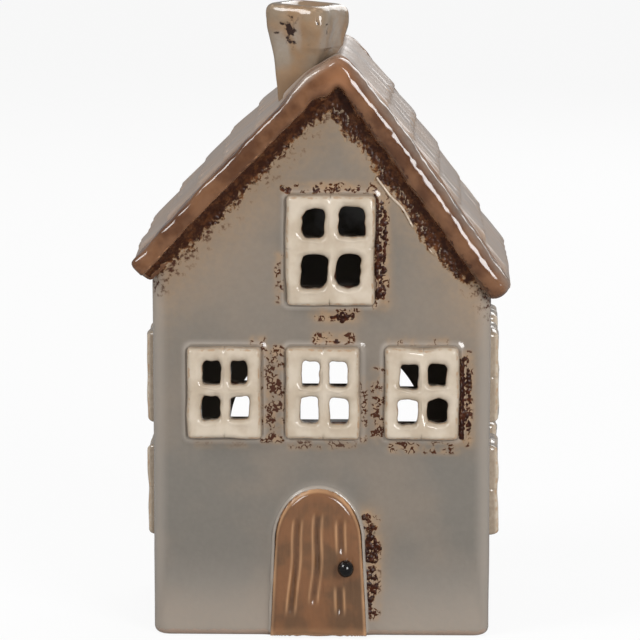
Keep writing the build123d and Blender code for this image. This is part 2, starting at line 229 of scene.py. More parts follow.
def lines_through(low, high, step, stops):
    """Grid lines from low to high about a step apart, with a line exactly at each stop."""
    marks = sorted({low, high, *[s for s in stops if low < s < high]})
    runs = [
        np.linspace(p, q, max(2, int(round((q - p) / step)) + 1))[:-1] for p, q in zip(marks, marks[1:])
    ]
    return np.concatenate(runs + [[high]])


def rows_above_foot(top, stops):
    """Heights of a wall's rows: six round the foot's edge, then about a cell apart up to the top."""
    foot = foot_radius * (1 - np.cos(np.linspace(0, pi / 2, 7)))
    return np.concatenate([foot[:-1], lines_through(foot_radius, top, wall_cell, stops)])


def foot_inset(z):
    """How far the rounded foot draws a wall in at a height: a quarter circle up to its radius."""
    return foot_radius * (1 - np.sqrt(np.clip(1 - (1 - np.minimum(z / foot_radius, 1)) ** 2, 0, 1)))


def cells_off_panes(across, up, panes):
    """Which cells of a grid have their middle outside all the panes."""
    mid_across, mid_up = np.meshgrid((across[1:] + across[:-1]) / 2, (up[1:] + up[:-1]) / 2)
    kept = np.ones(mid_up.shape, bool)
    for low, high, foot, head in panes:
        kept &= ~((mid_across > low) & (mid_across < high) & (mid_up > foot) & (mid_up < head))
    return kept


def all_corners(mask):
    """Which cells of a grid have all four corners in a mask of its points."""
    return mask[:-1, :-1] & mask[1:, :-1] & mask[:-1, 1:] & mask[1:, 1:]


def gable_wall(side, panes, arch=None):
    """Grids of a gable wall at y = side * half_depth, its corners and foot rounded.

    Columns run across the front and round both corners, rows run up and stop at the roof. An arch
    is a radius, the height that it springs from and its sill: the points in it are lifted to its
    round top, and the cells between them go.
    """
    hair, arch_columns, arch_margin = 1e-6, 73, 0.4
    corner = half_width - corner_radius
    flat_x = lines_through(-corner, corner, wall_cell, [v for p in panes for v in p[:2]])
    stops = [v for p in panes for v in p[2:]]
    if arch:
        radius, spring, sill = arch
        in_arch = radius * np.sin(np.linspace(-pi / 2, pi / 2, arch_columns))
        beside = radius + arch_margin
        flat_x = np.concatenate([flat_x[flat_x < -beside], in_arch, flat_x[flat_x > beside]])
        stops.append(sill)
    turn = np.linspace(0, pi / 2, 9)[1:-1]
    arc_x, arc_y = corner + corner_radius * np.sin(turn), corner_radius * (1 - np.cos(turn))
    edge = [half_width, half_width]
    x = np.concatenate([np.negative(edge), -arc_x[::-1], flat_x, arc_x, edge])
    flat = np.zeros(len(flat_x))
    back = np.concatenate([[wall, corner_radius], arc_y[::-1], flat, arc_y, [corner_radius, wall]])
    lean = np.concatenate([[-1, -1], -np.sin(turn)[::-1], flat, np.sin(turn), [1, 1]])
    z = rows_above_foot(gable_top, stops)
    X, Z = np.meshgrid(x, z)
    rest = upright(X, Z, side * (half_depth - back))
    push = wall_wander * wander(rest) - foot_inset(Z) + (side < 0) * pool_height * pooled(X, Z)
    normal = np.stack([lean, side * np.sqrt(1 - lean**2), 0 * lean], -1)[None]
    kept = cells_off_panes(x, z, panes)
    lifted = Z
    if arch:
        crown = spring + np.sqrt(np.clip(radius**2 - X**2, 0, None))
        under_crown = (np.abs(X) <= radius + hair) & (Z <= crown)
        kept &= ~all_corners(under_crown & (Z > sill - hair))
        lifted = np.where(under_crown & (Z > sill + hair), crown, Z)
    top = underside(X, roof_thickness)
    kept &= ~all_corners(lifted >= top)
    lifted = np.minimum(lifted, top)
    outer = rest + normal * push[..., None]
    outer[..., 2] = lifted
    inner_x = np.clip(X, outer[:, :1, 0], outer[:, -1:, 0])
    inner = np.stack([inner_x, 0 * X + side * (half_depth - wall), lifted], -1)
    return outer, inner, kept


def shell(outer, inner, kept):
    """Closed shell between two grids of points, open right through where a cell isn't kept.

    The rim joins the two grids along each cell side that has a kept cell on one side only.
    """
    rows, cols = kept.shape
    at = np.arange((rows + 1) * (cols + 1)).reshape(rows + 1, cols + 1)
    a, b, c, d = at[:-1, :-1][kept], at[:-1, 1:][kept], at[1:, 1:][kept], at[1:, :-1][kept]
    far = at.size
    faces = [np.stack([a, b, c, d], 1), np.stack([d, c, b, a], 1) + far]
    wide = np.pad(kept, 1)
    level = wide[:-1, 1:-1] != wide[1:, 1:-1]
    upright = wide[1:-1, :-1] != wide[1:-1, 1:]
    for p, q in ((at[:, :-1][level], at[:, 1:][level]), (at[:-1][upright], at[1:][upright])):
        faces.append(np.stack([p, q, q + far, p + far], 1))
    points = np.concatenate([outer.reshape(-1, 3), inner.reshape(-1, 3)])
    return points, np.concatenate(faces)


def add_piece(name, points, faces, nodes, finish, body="house", masks=None):
    """Makes one piece, given in millimetres, that rides on its body and stands for its CAD nodes.

    Doubled points are merged, faces are turned outwards and edges sharper than 48 degrees stay.
    """
    mesh = bpy.data.meshes.new(name)
    mesh.from_pydata(points * mm, [], faces)
    for mask, values in (masks or {}).items():
        layer = mesh.attributes.new(mask, "FLOAT", "POINT")
        layer.data.foreach_set("value", np.asarray(values, np.float32).ravel())
    work = bmesh.new()
    work.from_mesh(mesh)
    bmesh.ops.remove_doubles(work, verts=work.verts, dist=0.004 * mm)
    loose = [v for v in work.verts if not v.link_faces]
    bmesh.ops.delete(work, geom=loose, context="VERTS")
    bmesh.ops.recalc_face_normals(work, faces=work.faces)
    work.to_mesh(mesh)
    work.free()
    mesh.shade_smooth()
    mesh.set_sharp_from_angle(angle=radians(48))
    mesh.materials.append(finish)
    piece = bpy.data.objects.new(name, mesh)
    bpy.context.scene.collection.objects.link(piece)
    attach(piece, body)
    if nodes:
        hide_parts(*nodes)


def colour(red, green, blue):
    """Linear colour of a glaze from its usual 0 to 255 values."""
    share = np.array([red, green, blue]) / 255
    linear = np.where(share <= 0.04045, share / 12.92, ((share + 0.055) / 1.055) ** 2.4)
    return (*linear, 1.0)


def node(tree, kind, inputs=None, **settings):
    """Adds a shader node, sets it up, and gives each input a value or a link."""
    made = tree.nodes.new(kind)
    for key, value in settings.items():
        setattr(made, key, value)
    for key, value in (inputs or {}).items():
        if isinstance(value, bpy.types.NodeSocket):
            tree.links.new(value, made.inputs[key])
        else:
            made.inputs[key].default_value = value
    return made


def blend(tree, share, first, second, how="MIX"):
    """Colour between two colours by a share."""
    made = node(tree, "ShaderNodeMix", {0: share, 6: first, 7: second}, data_type="RGBA", blend_type=how)
    return made.outputs[2]


def sums(tree, how, first, second, clamp=False):
    """One arithmetic step."""
    return node(tree, "ShaderNodeMath", {0: first, 1: second}, operation=how, use_clamp=clamp).outputs[0]


def stepped(tree, value, low, high, start=0.0, end=1.0):
    """A value carried smoothly from one range to another."""
    settings = {"Value": value, "From Min": low, "From Max": high, "To Min": start, "To Max": end}
    return node(tree, "ShaderNodeMapRange", settings, interpolation_type="SMOOTHSTEP").outputs[0]


def speckle(tree, position, scale, detail=3.0, roughness=0.55):
    """Cloudy noise, in features per metre."""
    settings = {"Vector": position, "Scale": scale, "Detail": detail, "Roughness": roughness}
    return node(tree, "ShaderNodeTexNoise", settings).outputs["Fac"]


def cell_distance(tree, position, scale):
    """Distance from the nearest of scattered points, in points per metre."""
    return node(tree, "ShaderNodeTexVoronoi", {"Vector": position, "Scale": scale}).outputs["Distance"]


def near_ring(tree, distance, radius, inner, outer):
    """1 within an inner gap of a ring round each scattered point, and 0 past an outer gap."""
    off_ring = sums(tree, "ABSOLUTE", sums(tree, "SUBTRACT", distance, radius), 0.0)
    return stepped(tree, off_ring, inner, outer, 1.0, 0.0)


def mask_of(tree, name):
    """One of the masks that add_piece stores on a mesh."""
    return node(tree, "ShaderNodeAttribute", attribute_name=name).outputs["Fac"]


def new_finish(name):
    """A material, with its tree, its shader and the Object coordinates that its patterns read."""
    finish = bpy.data.materials.new(name)
    finish.use_nodes = True
    tree = finish.node_tree
    return finish, tree, tree.nodes["Principled BSDF"], node(tree, "ShaderNodeTexCoord").outputs["Object"]


def embossed(tree, shader, height, distance):
    """Raises a shader's surface by a height, which is a distance in metres where it's 1."""
    bump = node(tree, "ShaderNodeBump", {"Height": height, "Strength": 1.0, "Distance": distance})
    tree.links.new(bump.outputs["Normal"], shader.inputs["Normal"])


def new_group(name, inputs, outputs):
    """An empty node group with named inputs and outputs, given with their types."""
    tree = bpy.data.node_groups.new(name, "ShaderNodeTree")
    for label, kind in inputs:
        tree.interface.new_socket(label, in_out="INPUT", socket_type=f"NodeSocket{kind}")
    for label, kind in outputs:
        tree.interface.new_socket(label, in_out="OUTPUT", socket_type=f"NodeSocket{kind}")
    return tree, tree.nodes.new("NodeGroupInput").outputs, tree.nodes.new("NodeGroupOutput").inputs


# Glaze tone: thick glaze drifts between two tones, breaks to the clay's warmth on thin edges,
# and carries fine iron specks.
tone_group, given, result = new_group(
    "glaze_tone",
    [
        ("Position", "Vector"),
        ("Thick", "Color"),
        ("Drift", "Color"),
        ("Thin", "Color"),
        ("Iron", "Color"),
        ("Edge", "Float"),
        ("Specks", "Float"),
        ("Cloud", "Float"),
    ],
    [("Colour", "Color"), ("Cover", "Float")],
)
grain_scale, pore_scale, patch_scale, grain_white = 620.0, 420.0, 130.0, (0.9, 0.9, 0.9, 1)
tree, place = tone_group, given["Position"]
cloud = speckle(tree, place, given["Cloud"], 3.0, 0.5)
fine = speckle(tree, place, grain_scale, 2.0, 0.5)
drifted = blend(tree, stepped(tree, cloud, 0.35, 0.65), given["Thick"], given["Drift"])
grainy = blend(tree, stepped(tree, fine, 0.3, 0.75, 0.0, 0.07), drifted, grain_white, "SOFT_LIGHT")
ragged = sums(tree, "ADD", given["Edge"], stepped(tree, fine, 0.2, 0.8, -0.28, 0.28))
worn = stepped(tree, ragged, 0.35, 0.85)
edged = blend(tree, worn, grainy, given["Thin"])
near = stepped(tree, cell_distance(tree, place, pore_scale), 0.05, 0.17, 1.0, 0.0)
patchy = stepped(tree, speckle(tree, place, patch_scale), 0.45, 0.7)
specks = sums(tree, "MULTIPLY", sums(tree, "MULTIPLY", near, patchy), given["Specks"], True)
tree.links.new(blend(tree, specks, edged, given["Iron"]), result["Colour"])
tree.links.new(sums(tree, "SUBTRACT", 1.0, worn), result["Cover"])

# Glaze skin: the faint ripple that a melted glaze sets with, its orange peel and its pinholes,
# all as heights.
skin_group, given, result = new_group(
    "glaze_skin", [("Position", "Vector"), ("Pinholes", "Float")], [("Height", "Float")]
)
ripple_scale, peel_scale, peel_height, pinhole_scale = 95.0, 480.0, 0.16, 300.0
tree, place = skin_group, given["Position"]
ripple = speckle(tree, place, ripple_scale, 2.0, 0.5)
orange_peel = sums(tree, "MULTIPLY", speckle(tree, place, peel_scale, 1.0, 0.4), peel_height)
holes = stepped(tree, cell_distance(tree, place, pinhole_scale), 0.03, 0.12, -1.0, 0.0)
waves = sums(tree, "ADD", ripple, orange_peel)
sunk = sums(tree, "MULTIPLY", holes, given["Pinholes"])
tree.links.new(sums(tree, "ADD", waves, sunk), result["Height"])


def laced(tree, position, ground, halo_tone, iron):
    """Brown lace over a ground, as strong as the mask lace.

    Its threads follow rings round scattered points whose place is stirred by noise. Blots fill in
    between them, and both stand in a patchy halo of a lighter tone.
    """
    stir_scale, stir_reach, ring_scale, ring_radius = 520.0, 0.0028, 440.0, 0.44
    stir = node(tree, "ShaderNodeTexNoise", {"Vector": position, "Scale": stir_scale, "Detail": 2.0})
    stirred = {0: stir.outputs["Color"], "Scale": stir_reach}
    push = node(tree, "ShaderNodeVectorMath", stirred, operation="SCALE")
    moved = node(tree, "ShaderNodeVectorMath", {0: position, 1: push.outputs[0]}, operation="ADD").outputs[0]
    lace, cloudy = mask_of(tree, "lace"), speckle(tree, position, 230.0)
    shown = sums(tree, "MULTIPLY", lace, stepped(tree, cloudy, 0.42, 0.56))
    halo = sums(tree, "MULTIPLY", stepped(tree, cloudy, 0.35, 0.6, 0.1, 0.65), lace)
    ring = near_ring(tree, cell_distance(tree, moved, ring_scale), ring_radius, 0.05, 0.16)
    blots = stepped(tree, speckle(tree, position, 480.0, 3.0, 0.6), 0.5, 0.6)
    thread, blot = sums(tree, "MULTIPLY", ring, shown), sums(tree, "MULTIPLY", blots, shown)
    brown = stepped(tree, sums(tree, "MAXIMUM", thread, blot), 0.25, 0.7)
    return blend(tree, brown, blend(tree, halo, ground, halo_tone), iron)


def glazed(
    name,
    thick,
    drift,
    thin,
    iron,
    tint,
    specks,
    pool_and_painted_light=None,
    cloud=38.0,
    ripple=0.0004,
    pinholes=0.08,
    gloss=0.12,
    coat=0.35,
    lace=False,
):
    """A fired glaze: its tone from the glaze_tone group, its skin from glaze_skin, under a coat.

    Masks on a piece bring in the colours for thin glaze, tint, pooled glaze and iron, and the mask
    lace brings in brown lace. On some pieces the pool mask also paints highlights, the stain
    mask paints shade, and the tint mask paints both. Cloud is the scale of the drift between thick
    and drift.
    """
    finish, tree, shader, position = new_finish(name)
    tone = node(
        tree,
        "ShaderNodeGroup",
        {
            "Position": position,
            "Thick": thick,
            "Drift": drift,
            "Thin": thin,
            "Iron": iron,
            "Edge": mask_of(tree, "thin"),
            "Specks": specks,
            "Cloud": cloud,
        },
        node_tree=tone_group,
    )
    crumbs = speckle(tree, position, 520.0, 3.0, 0.6)
    crumbled = sums(tree, "MULTIPLY", mask_of(tree, "tint"), stepped(tree, crumbs, 0.3, 0.7, 0.7, 1.1), True)
    ground = blend(tree, crumbled, tone.outputs["Colour"], tint)
    if pool_and_painted_light:
        ground = blend(tree, mask_of(tree, "pool_and_painted_light"), ground, pool_and_painted_light)
    if lace:
        ground = laced(tree, position, ground, tint, iron)
    stain_and_shade = mask_of(tree, "stain_and_shade")
    rusty = sums(tree, "ADD", stain_and_shade, stepped(tree, crumbs, 0.3, 0.7, -0.45, 0.2))
    stained = sums(tree, "MULTIPLY", stepped(tree, rusty, 0.1, 0.5), stepped(tree, stain_and_shade, 0.0, 0.1))
    tree.links.new(blend(tree, stained, ground, iron), shader.inputs["Base Color"])
    skin = node(tree, "ShaderNodeGroup", {"Position": position, "Pinholes": pinholes}, node_tree=skin_group)
    embossed(tree, shader, skin.outputs["Height"], ripple)
    rough = stepped(tree, tone.outputs["Cover"], 0.0, 1.0, gloss + 0.22, gloss)
    tree.links.new(rough, shader.inputs["Roughness"])
    shader.inputs["Coat Weight"].default_value = coat
    shader.inputs["Coat Roughness"].default_value = 0.06
    return finish


wall_glaze = glazed(
    "wall_glaze",
    thick=colour(119, 110, 100),
    drift=colour(109, 104, 97),
    thin=colour(140, 92, 62),
    iron=colour(64, 31, 13),
    tint=colour(160, 130, 98),
    # The pool tone: pooled glaze, and a painted highlight on the rounded corners.
    pool_and_painted_light=colour(153, 144, 134),
    specks=0.02,
    lace=True,
)
pierced = [
    (low_x - pane_gap, high_x + pane_gap, low_z - pane_gap, high_z + pane_gap)
    for name in windows
    for low_x, high_x, low_z, high_z, lean in pane_boxes[name]
]
points, faces = shell(*gable_wall(-1, pierced))


def wall_masks(points, side):
    """Where a gable's glaze breaks thin, is stained, is warmed, and stands pooled and pale.

    It's warm and stained below the rolls, thin at the very foot, and paler above that. Its rounded
    corners are painted pale as a painted highlight, and it stands pooled round the front's frames.
    At the panes' cut edges it's darkened, partly as bare clay and partly as painted shade in the
    holes. The second half of the points is the wall's inside, which keeps only the thin foot.
    """
    warm_reach, stain_reach, patch_reach, lace_reach, pane_reach = 13.0, 7.0, 2.0, 1.0, 0.9
    x, z = points[:, 0], points[:, 2]
    below = np.clip(underside(x, barge_thickness) - z, 0, None)
    warm = 0.85 * np.exp(-below / warm_reach) + 0.2 * ease(z, 20, 3)
    stain_and_shade = 0.4 * bell(below, 0, stain_reach)
    # Paler towards the foot; the rounded corners are painted pale, a painted highlight.
    at_foot, corner_sheen = ease(z, 32, 2), ease(np.abs(x), half_width - 5.5, half_width - 1)
    pool_and_painted_light = np.maximum(0.6 * at_foot, 0.7 * corner_sheen)
    lace = 0 * x
    if side < 0:
        for *box, spread in crust_patches:
            gap = np.clip(box_gap(x, z, box, patch_rounding), 0, None)
            warm = np.maximum(warm, (0.5 + 0.3 * spread) * np.exp(-gap / patch_reach))
        for *box, strength in lace_patches:
            gap = np.clip(box_gap(x, z, box, patch_rounding), 0, None)
            lace = np.maximum(lace, strength * bell(gap, 0, lace_reach))
        # Darkened at the panes' cut edges: partly bare clay, partly painted shade inside the holes.
        for box in pierced:
            stain_and_shade = np.maximum(stain_and_shade, bell(np.clip(box_gap(x, z, box, 0.0), 0, None), 0, pane_reach))
        pool_and_painted_light = np.maximum(pool_and_painted_light, 0.8 * pooled(x, z))
    outside = np.arange(len(points)) < len(points) // 2
    masks = {"stain_and_shade": stain_and_shade, "tint": warm, "pool_and_painted_light": pool_and_painted_light, "lace": lace}
    masks = {mask: np.clip(value, 0, 1) * outside for mask, value in masks.items()}
    return {"thin": ease(z, 3.0, 1.2)} | masks


add_piece(
    "front_wall_slab",
    points,
    faces,
    ["front_wall"],
    wall_glaze,
    masks=wall_masks(points, -1),
)

# Rear wall: the same gable slab as the front one, without windows. Its arched doorway was cut down
# to the floor, so that the tealight and the fingers that hold it can pass.
arch_radius, arch_spring_z, floor_top = 33.5, 52.0, 6.0
points, faces = shell(*gable_wall(1, [], arch=(arch_radius, arch_spring_z, floor_top)))
add_piece(
    "rear_wall_slab",
    points,
    faces,
    ["rear_wall"],
    wall_glaze,
    masks=wall_masks(points, 1),
)

# Side walls: slabs between the gables, each pierced for two rows of two windows and bevelled
# on top to take the roof.
side_top = 126.0
side_windows = {
    f"window_{storey}_{end}": Window(y, z, *small_frame)
    for storey, z in (("upper", 82.6), ("lower", 45.6))
    for end, y in (("front", -19.0), ("rear", 19.0))
}


def pane_rectangles(window, grow=0.0):
    """Low and high across, low z and high z of a window's four panes, grown by a margin."""
    pane_width = (window.width - 2 * window.stile - window.muntin) / 2
    pane_height = (window.height - window.top - window.bottom - window.transom) / 2
    aside = (pane_width + window.muntin) / 2
    low = (pane_height - window.height) / 2 + window.bottom
    return [
        (
            window.across + i * aside - pane_width / 2 - grow,
            window.across + i * aside + pane_width / 2 + grow,
            window.z + up - pane_height / 2 - grow,
            window.z + up + pane_height / 2 + grow,
        )
        for i in (-1, 1)
        for up in (low, low + pane_height + window.transom)
    ]


for side, word in ((-1, "left"), (1, "right")):
    panes = [pane for window in side_windows.values() for pane in pane_rectangles(window, pane_gap)]
    across = lines_through(wall - half_depth, half_depth - wall, wall_cell, [v for p in panes for v in p[:2]])
    up = rows_above_foot(side_top, [v for p in panes for v in p[2:]])
    Y, Z = np.meshgrid(across, up)
    rest = np.stack([side * half_width + 0 * Y, Y, Z], -1)
    outer = rest.copy()
    outer[..., 0] += side * (wall_wander * wander(rest) - foot_inset(Z))
    outer[..., 2] = np.minimum(Z, underside(side * half_width, roof_thickness))
    inner_x = side * (half_width - wall)
    inner_top = underside(inner_x, roof_thickness)
    inner = np.stack([inner_x + 0 * Y, Y, np.minimum(Z, inner_top)], -1)
    kept = cells_off_panes(across, up, panes) & ((up[1:] + up[:-1]) / 2 < inner_top)[:, None]
    points, faces = shell(outer, inner, kept)
    add_piece(
        f"{word}_wall_slab",
        points,
        faces,
        [f"{word}_wall"],
        wall_glaze,
        masks={"thin": ease(points[:, 2], 3.0, 1.2), "pool_and_painted_light": 0.6 * ease(points[:, 2], 32, 2)},
    )

# Roof: two slabs mitred at the crooked ridge, their courses of round-tailed tiles pressed up
# and softened by thick lavender-grey glaze.
left_eave_x, right_eave_x = -61.0, 61.4
left_run = (ridge_x - left_eave_x) / cos(left_pitch)
right_run = (right_eave_x - ridge_x) / cos(right_pitch)
course_count, tile_count, tile_lift, tile_round = 6, 6, 1.1, 3.4
tile_ridge_margin, tile_eave_margin, tile_verge_margin = 9.0, 7.8, 1.6
tile_drop, seam_depth, seam_reach, tail_reach = 0.8, 0.2, 0.7, 0.7
ridge_soft, inner_soft = 0.054, 0.035
left_swell, left_swell_behind, right_swell, front_bump = 0.9, 1.5, 0.8, 1.7
lump_height, lump_size, dent_height, dent_size = 0.5, 24.0, 0.25, 9.0
ridge_lump, ridge_lump_size, ridge_lump_reach = 0.35, 9.0, 10.0
eave_top_radius, eave_under_radius, eave_power = 3.4, 2.6, 2.4
ridge_zone, ridge_rows, slope_rows, eave_rows, slope_columns = 14.0, 22, 112, 9, 119
chimney_y, chimney_turn = -26.6, radians(-26.0)
flue_hole_x, flue_hole_half = -4.4, 5.1


def bent(share, depth):
    """Point on the bent slab's section: share runs from -1 at the left eave over 0 at the ridge
    to 1 at the right eave, depth is the distance below the top surface.

    Two straight lines leave the mitre, and a hyperbola rounds the bend between them.
    """
    lean = 1 / cos(left_pitch) - 1 / cos(right_pitch)
    shift = depth * lean / (tan(left_pitch) + tan(right_pitch))
    mid_x, mid_z = ridge_x + shift, ridge_z + shift * tan(left_pitch) - depth / cos(left_pitch)
    left_x = left_eave_x + depth * sin(left_pitch)
    left_z = ridge_z - (ridge_x - left_eave_x) * tan(left_pitch) - depth * cos(left_pitch)
    right_x = right_eave_x - depth * sin(right_pitch)
    right_z = ridge_z - (right_eave_x - ridge_x) * tan(right_pitch) - depth * cos(right_pitch)
    soft = ridge_soft + (inner_soft - ridge_soft) * np.clip(depth / barge_thickness, 0, 1)

    def ramp(value):
        """A hyperbola that leaves the level line at 0 for a rising one, and is 1 at 1."""
        return (value + np.sqrt(value**2 + soft**2)) / (1 + np.sqrt(1 + soft**2))

    rise, fall = ramp(share), ramp(-share)
    x = mid_x + (right_x - mid_x) * rise + (left_x - mid_x) * fall
    z = mid_z + (right_z - mid_z) * rise + (left_z - mid_z) * fall
    return x, z


def outward_of(share):
    """Unit normal of the bent slab's top: it turns from one slope's to the other's at the ridge."""
    turn = 0.5 + 0.5 * share / np.sqrt(share**2 + ridge_soft**2)
    x = -sin(left_pitch) * (1 - turn) + sin(right_pitch) * turn
    z = cos(left_pitch) * (1 - turn) + cos(right_pitch) * turn
    size = np.sqrt(x**2 + z**2)
    return x / size, z / size


def belly(share, y):
    """How far the hand-bent slopes swell outwards.

    It's half a sine wave to the power 1.5 from ridge to eave, higher at the rear of the left slope,
    and a bell-shaped bump left of the ridge at the front.
    """
    hump = np.sin(pi * np.clip(np.abs(share), 0, 1)) ** 1.5
    swell = np.where(share < 0, left_swell + left_swell_behind * ease(y, -45, 30), right_swell)
    return hump * swell + front_bump * bell(share, -0.15, 0.1) * ease(y, 0, -45)


def tile_relief(down, y, run):
    """Lift of the tiles above the slope and how near a point is to a tile's tail.

    Each course rises evenly from its head to its tails, whose line is a row of arcs set half a
    tile along from the row above, then drops over a short rounded step.
    """
    length = (run - tile_ridge_margin - tile_eave_margin) / course_count
    width = (2 * half_depth - 2 * tile_verge_margin) / tile_count
    lift, edge = np.zeros_like(down), np.zeros_like(down)
    for course in range(course_count):
        start = tile_ridge_margin + course * length
        offset = 0.5 * width * (course % 2)
        along = ((y - offset) / width + 0.5) % 1.0 - 0.5
        index = np.floor((y - offset) / width + 0.5)
        drop = 0.75 * np.sin(index * 12.9 + course * 4.1)
        tail = start + length + drop * tile_drop + tile_round * (0.25 + 0.75 * np.cos(along * pi) ** 0.8)
        rising = np.clip((down - start) / length, 0, 1.25)
        own = tile_lift * (1.0 + 0.22 * np.sin(index * 7.3 + course)) * rising
        own *= 1 - ease(down, tail - 1.4, tail + 1.0)
        from_seam = (0.5 - np.abs(along)) * width
        seam = seam_depth * bell(from_seam, 0, seam_reach) * ease(down, start + 2, start + 6)
        lift = np.maximum(lift, own * (down > start) - seam * (own > 0.1))
        edge = np.maximum(edge, bell(down - tail, -0.6, tail_reach))
    inside = ease(half_depth - np.abs(y), 0.4, 3.0)
    return lift * inside, edge * inside


def outside_only(mask):
    """A grid's mask on a shell's outer points, and 0 on its inner ones."""
    return np.concatenate([mask.ravel(), 0 * mask.ravel()])


roof_glaze = glazed(
    "roof_glaze",
    thick=colour(166, 145, 128),
    drift=colour(159, 144, 133),
    thin=colour(192, 172, 154),
    iron=colour(96, 66, 48),
    tint=colour(136, 108, 88),
    specks=0.02,
    cloud=60.0,
    ripple=0.0001,
    pinholes=0.0,
    gloss=0.32,
    coat=0.1,
)
for side, word, run in ((-1, "left", left_run), (1, "right", right_run)):
    near_ridge = np.linspace(0, ridge_zone, ridge_rows)[:-1]
    on_slope = np.linspace(ridge_zone, run - eave_top_radius, slope_rows)[:-1]
    round_eave = run - eave_top_radius * np.cos(np.linspace(0, pi / 2, eave_rows))
    down = np.concatenate([near_ridge, on_slope, round_eave])
    across = np.linspace(-half_depth, half_depth, slope_columns)
    D, Y = np.meshgrid(down, across, indexing="ij")
    share, end = side * D / run, run - D
    middle = roof_thickness / 2
    top_x, top_z = bent(share, middle * (1 - shoulder(end, eave_top_radius, eave_power)))
    low_x, low_z = bent(share, roof_thickness - middle * (1 - shoulder(end, eave_under_radius, eave_power)))
    normal_x, normal_z = outward_of(share)
    rest = np.stack([top_x, Y, top_z], -1)
    lift, edge = tile_relief(D, Y, run)
    lumps = lump_height * lattice_noise(rest, lump_size, 5)
    lumps = lumps + dent_height * lattice_noise(rest * (1.0, 0.45, 1.0), dent_size, 6)
    push = (lift + lumps + belly(share, Y)) * ease(end, 0.0, 2.5)
    push += ridge_lump * ease(D, ridge_lump_reach, 0) * lattice_noise(rest, ridge_lump_size, 8)
    outer = rest + np.stack([normal_x * push, 0 * push, normal_z * push], -1)
    inner = np.stack([low_x, Y, low_z], -1)
    kept = np.ones((len(down) - 1, len(across) - 1), bool)
    if side < 0:
        centre = (outer[1:, 1:] + outer[:-1, :-1]) / 2
        dx, dy = centre[..., 0] - flue_hole_x, centre[..., 1] - chimney_y
        u = dx * cos(chimney_turn) + dy * sin(chimney_turn)
        v = dy * cos(chimney_turn) - dx * sin(chimney_turn)
        kept &= ~((np.abs(u) < flue_hole_half) & (np.abs(v) < flue_hole_half))
    points, faces = shell(outer, inner, kept)
    by_roll = ease(np.abs(Y), half_depth - 2.5, half_depth - 0.4)
    add_piece(
        f"roof_slope_{word}",
        points,
        faces,
        [f"roof_{word}"],
        roof_glaze,
        masks={"thin": outside_only(0.5 * edge), "tint": outside_only(0.9 * by_roll)},
    )

# Bargeboards: a thick roll of clay laid along each end of the roof, pinched together at the
# apex, under a brown glaze that breaks orange where it runs thin.
roll_half = barge_thickness / 2
roll_y, roll_proud, roll_back, verge_limit = 43.6, 5.8, 1.0, 49.5
roll_rows, roll_tip, roll_tip_rows, roll_sides = 300, 0.035, 8, 56
left_tuck, apex_tuck, apex_reach = 3.2, 1.6, 0.06
end_left, end_left_power, end_right, end_right_power = 2.2, 3.0, 3.6, 2.2
roll_wander, thumb_height, thumb_size, grain_height, grain_size = 0.45, 0.42, 7.0, 0.22, 2.8


def looped(rows, cols, first=0, round_rows=False):
    """Faces of a grid whose columns close on themselves, and its rows too if wanted."""
    at = first + np.arange(rows * cols).reshape(rows, cols)
    near, far = (at, np.roll(at, -1, axis=0)) if round_rows else (at[:-1], at[1:])
    return np.stack([near, np.roll(near, -1, axis=1), np.roll(far, -1, axis=1), far], -1).reshape(-1, 4)


def curved(wave, power):
    """A sine or cosine raised to a power with its sign kept, which squares a round section up."""
    return np.sign(wave) * np.abs(wave) ** power


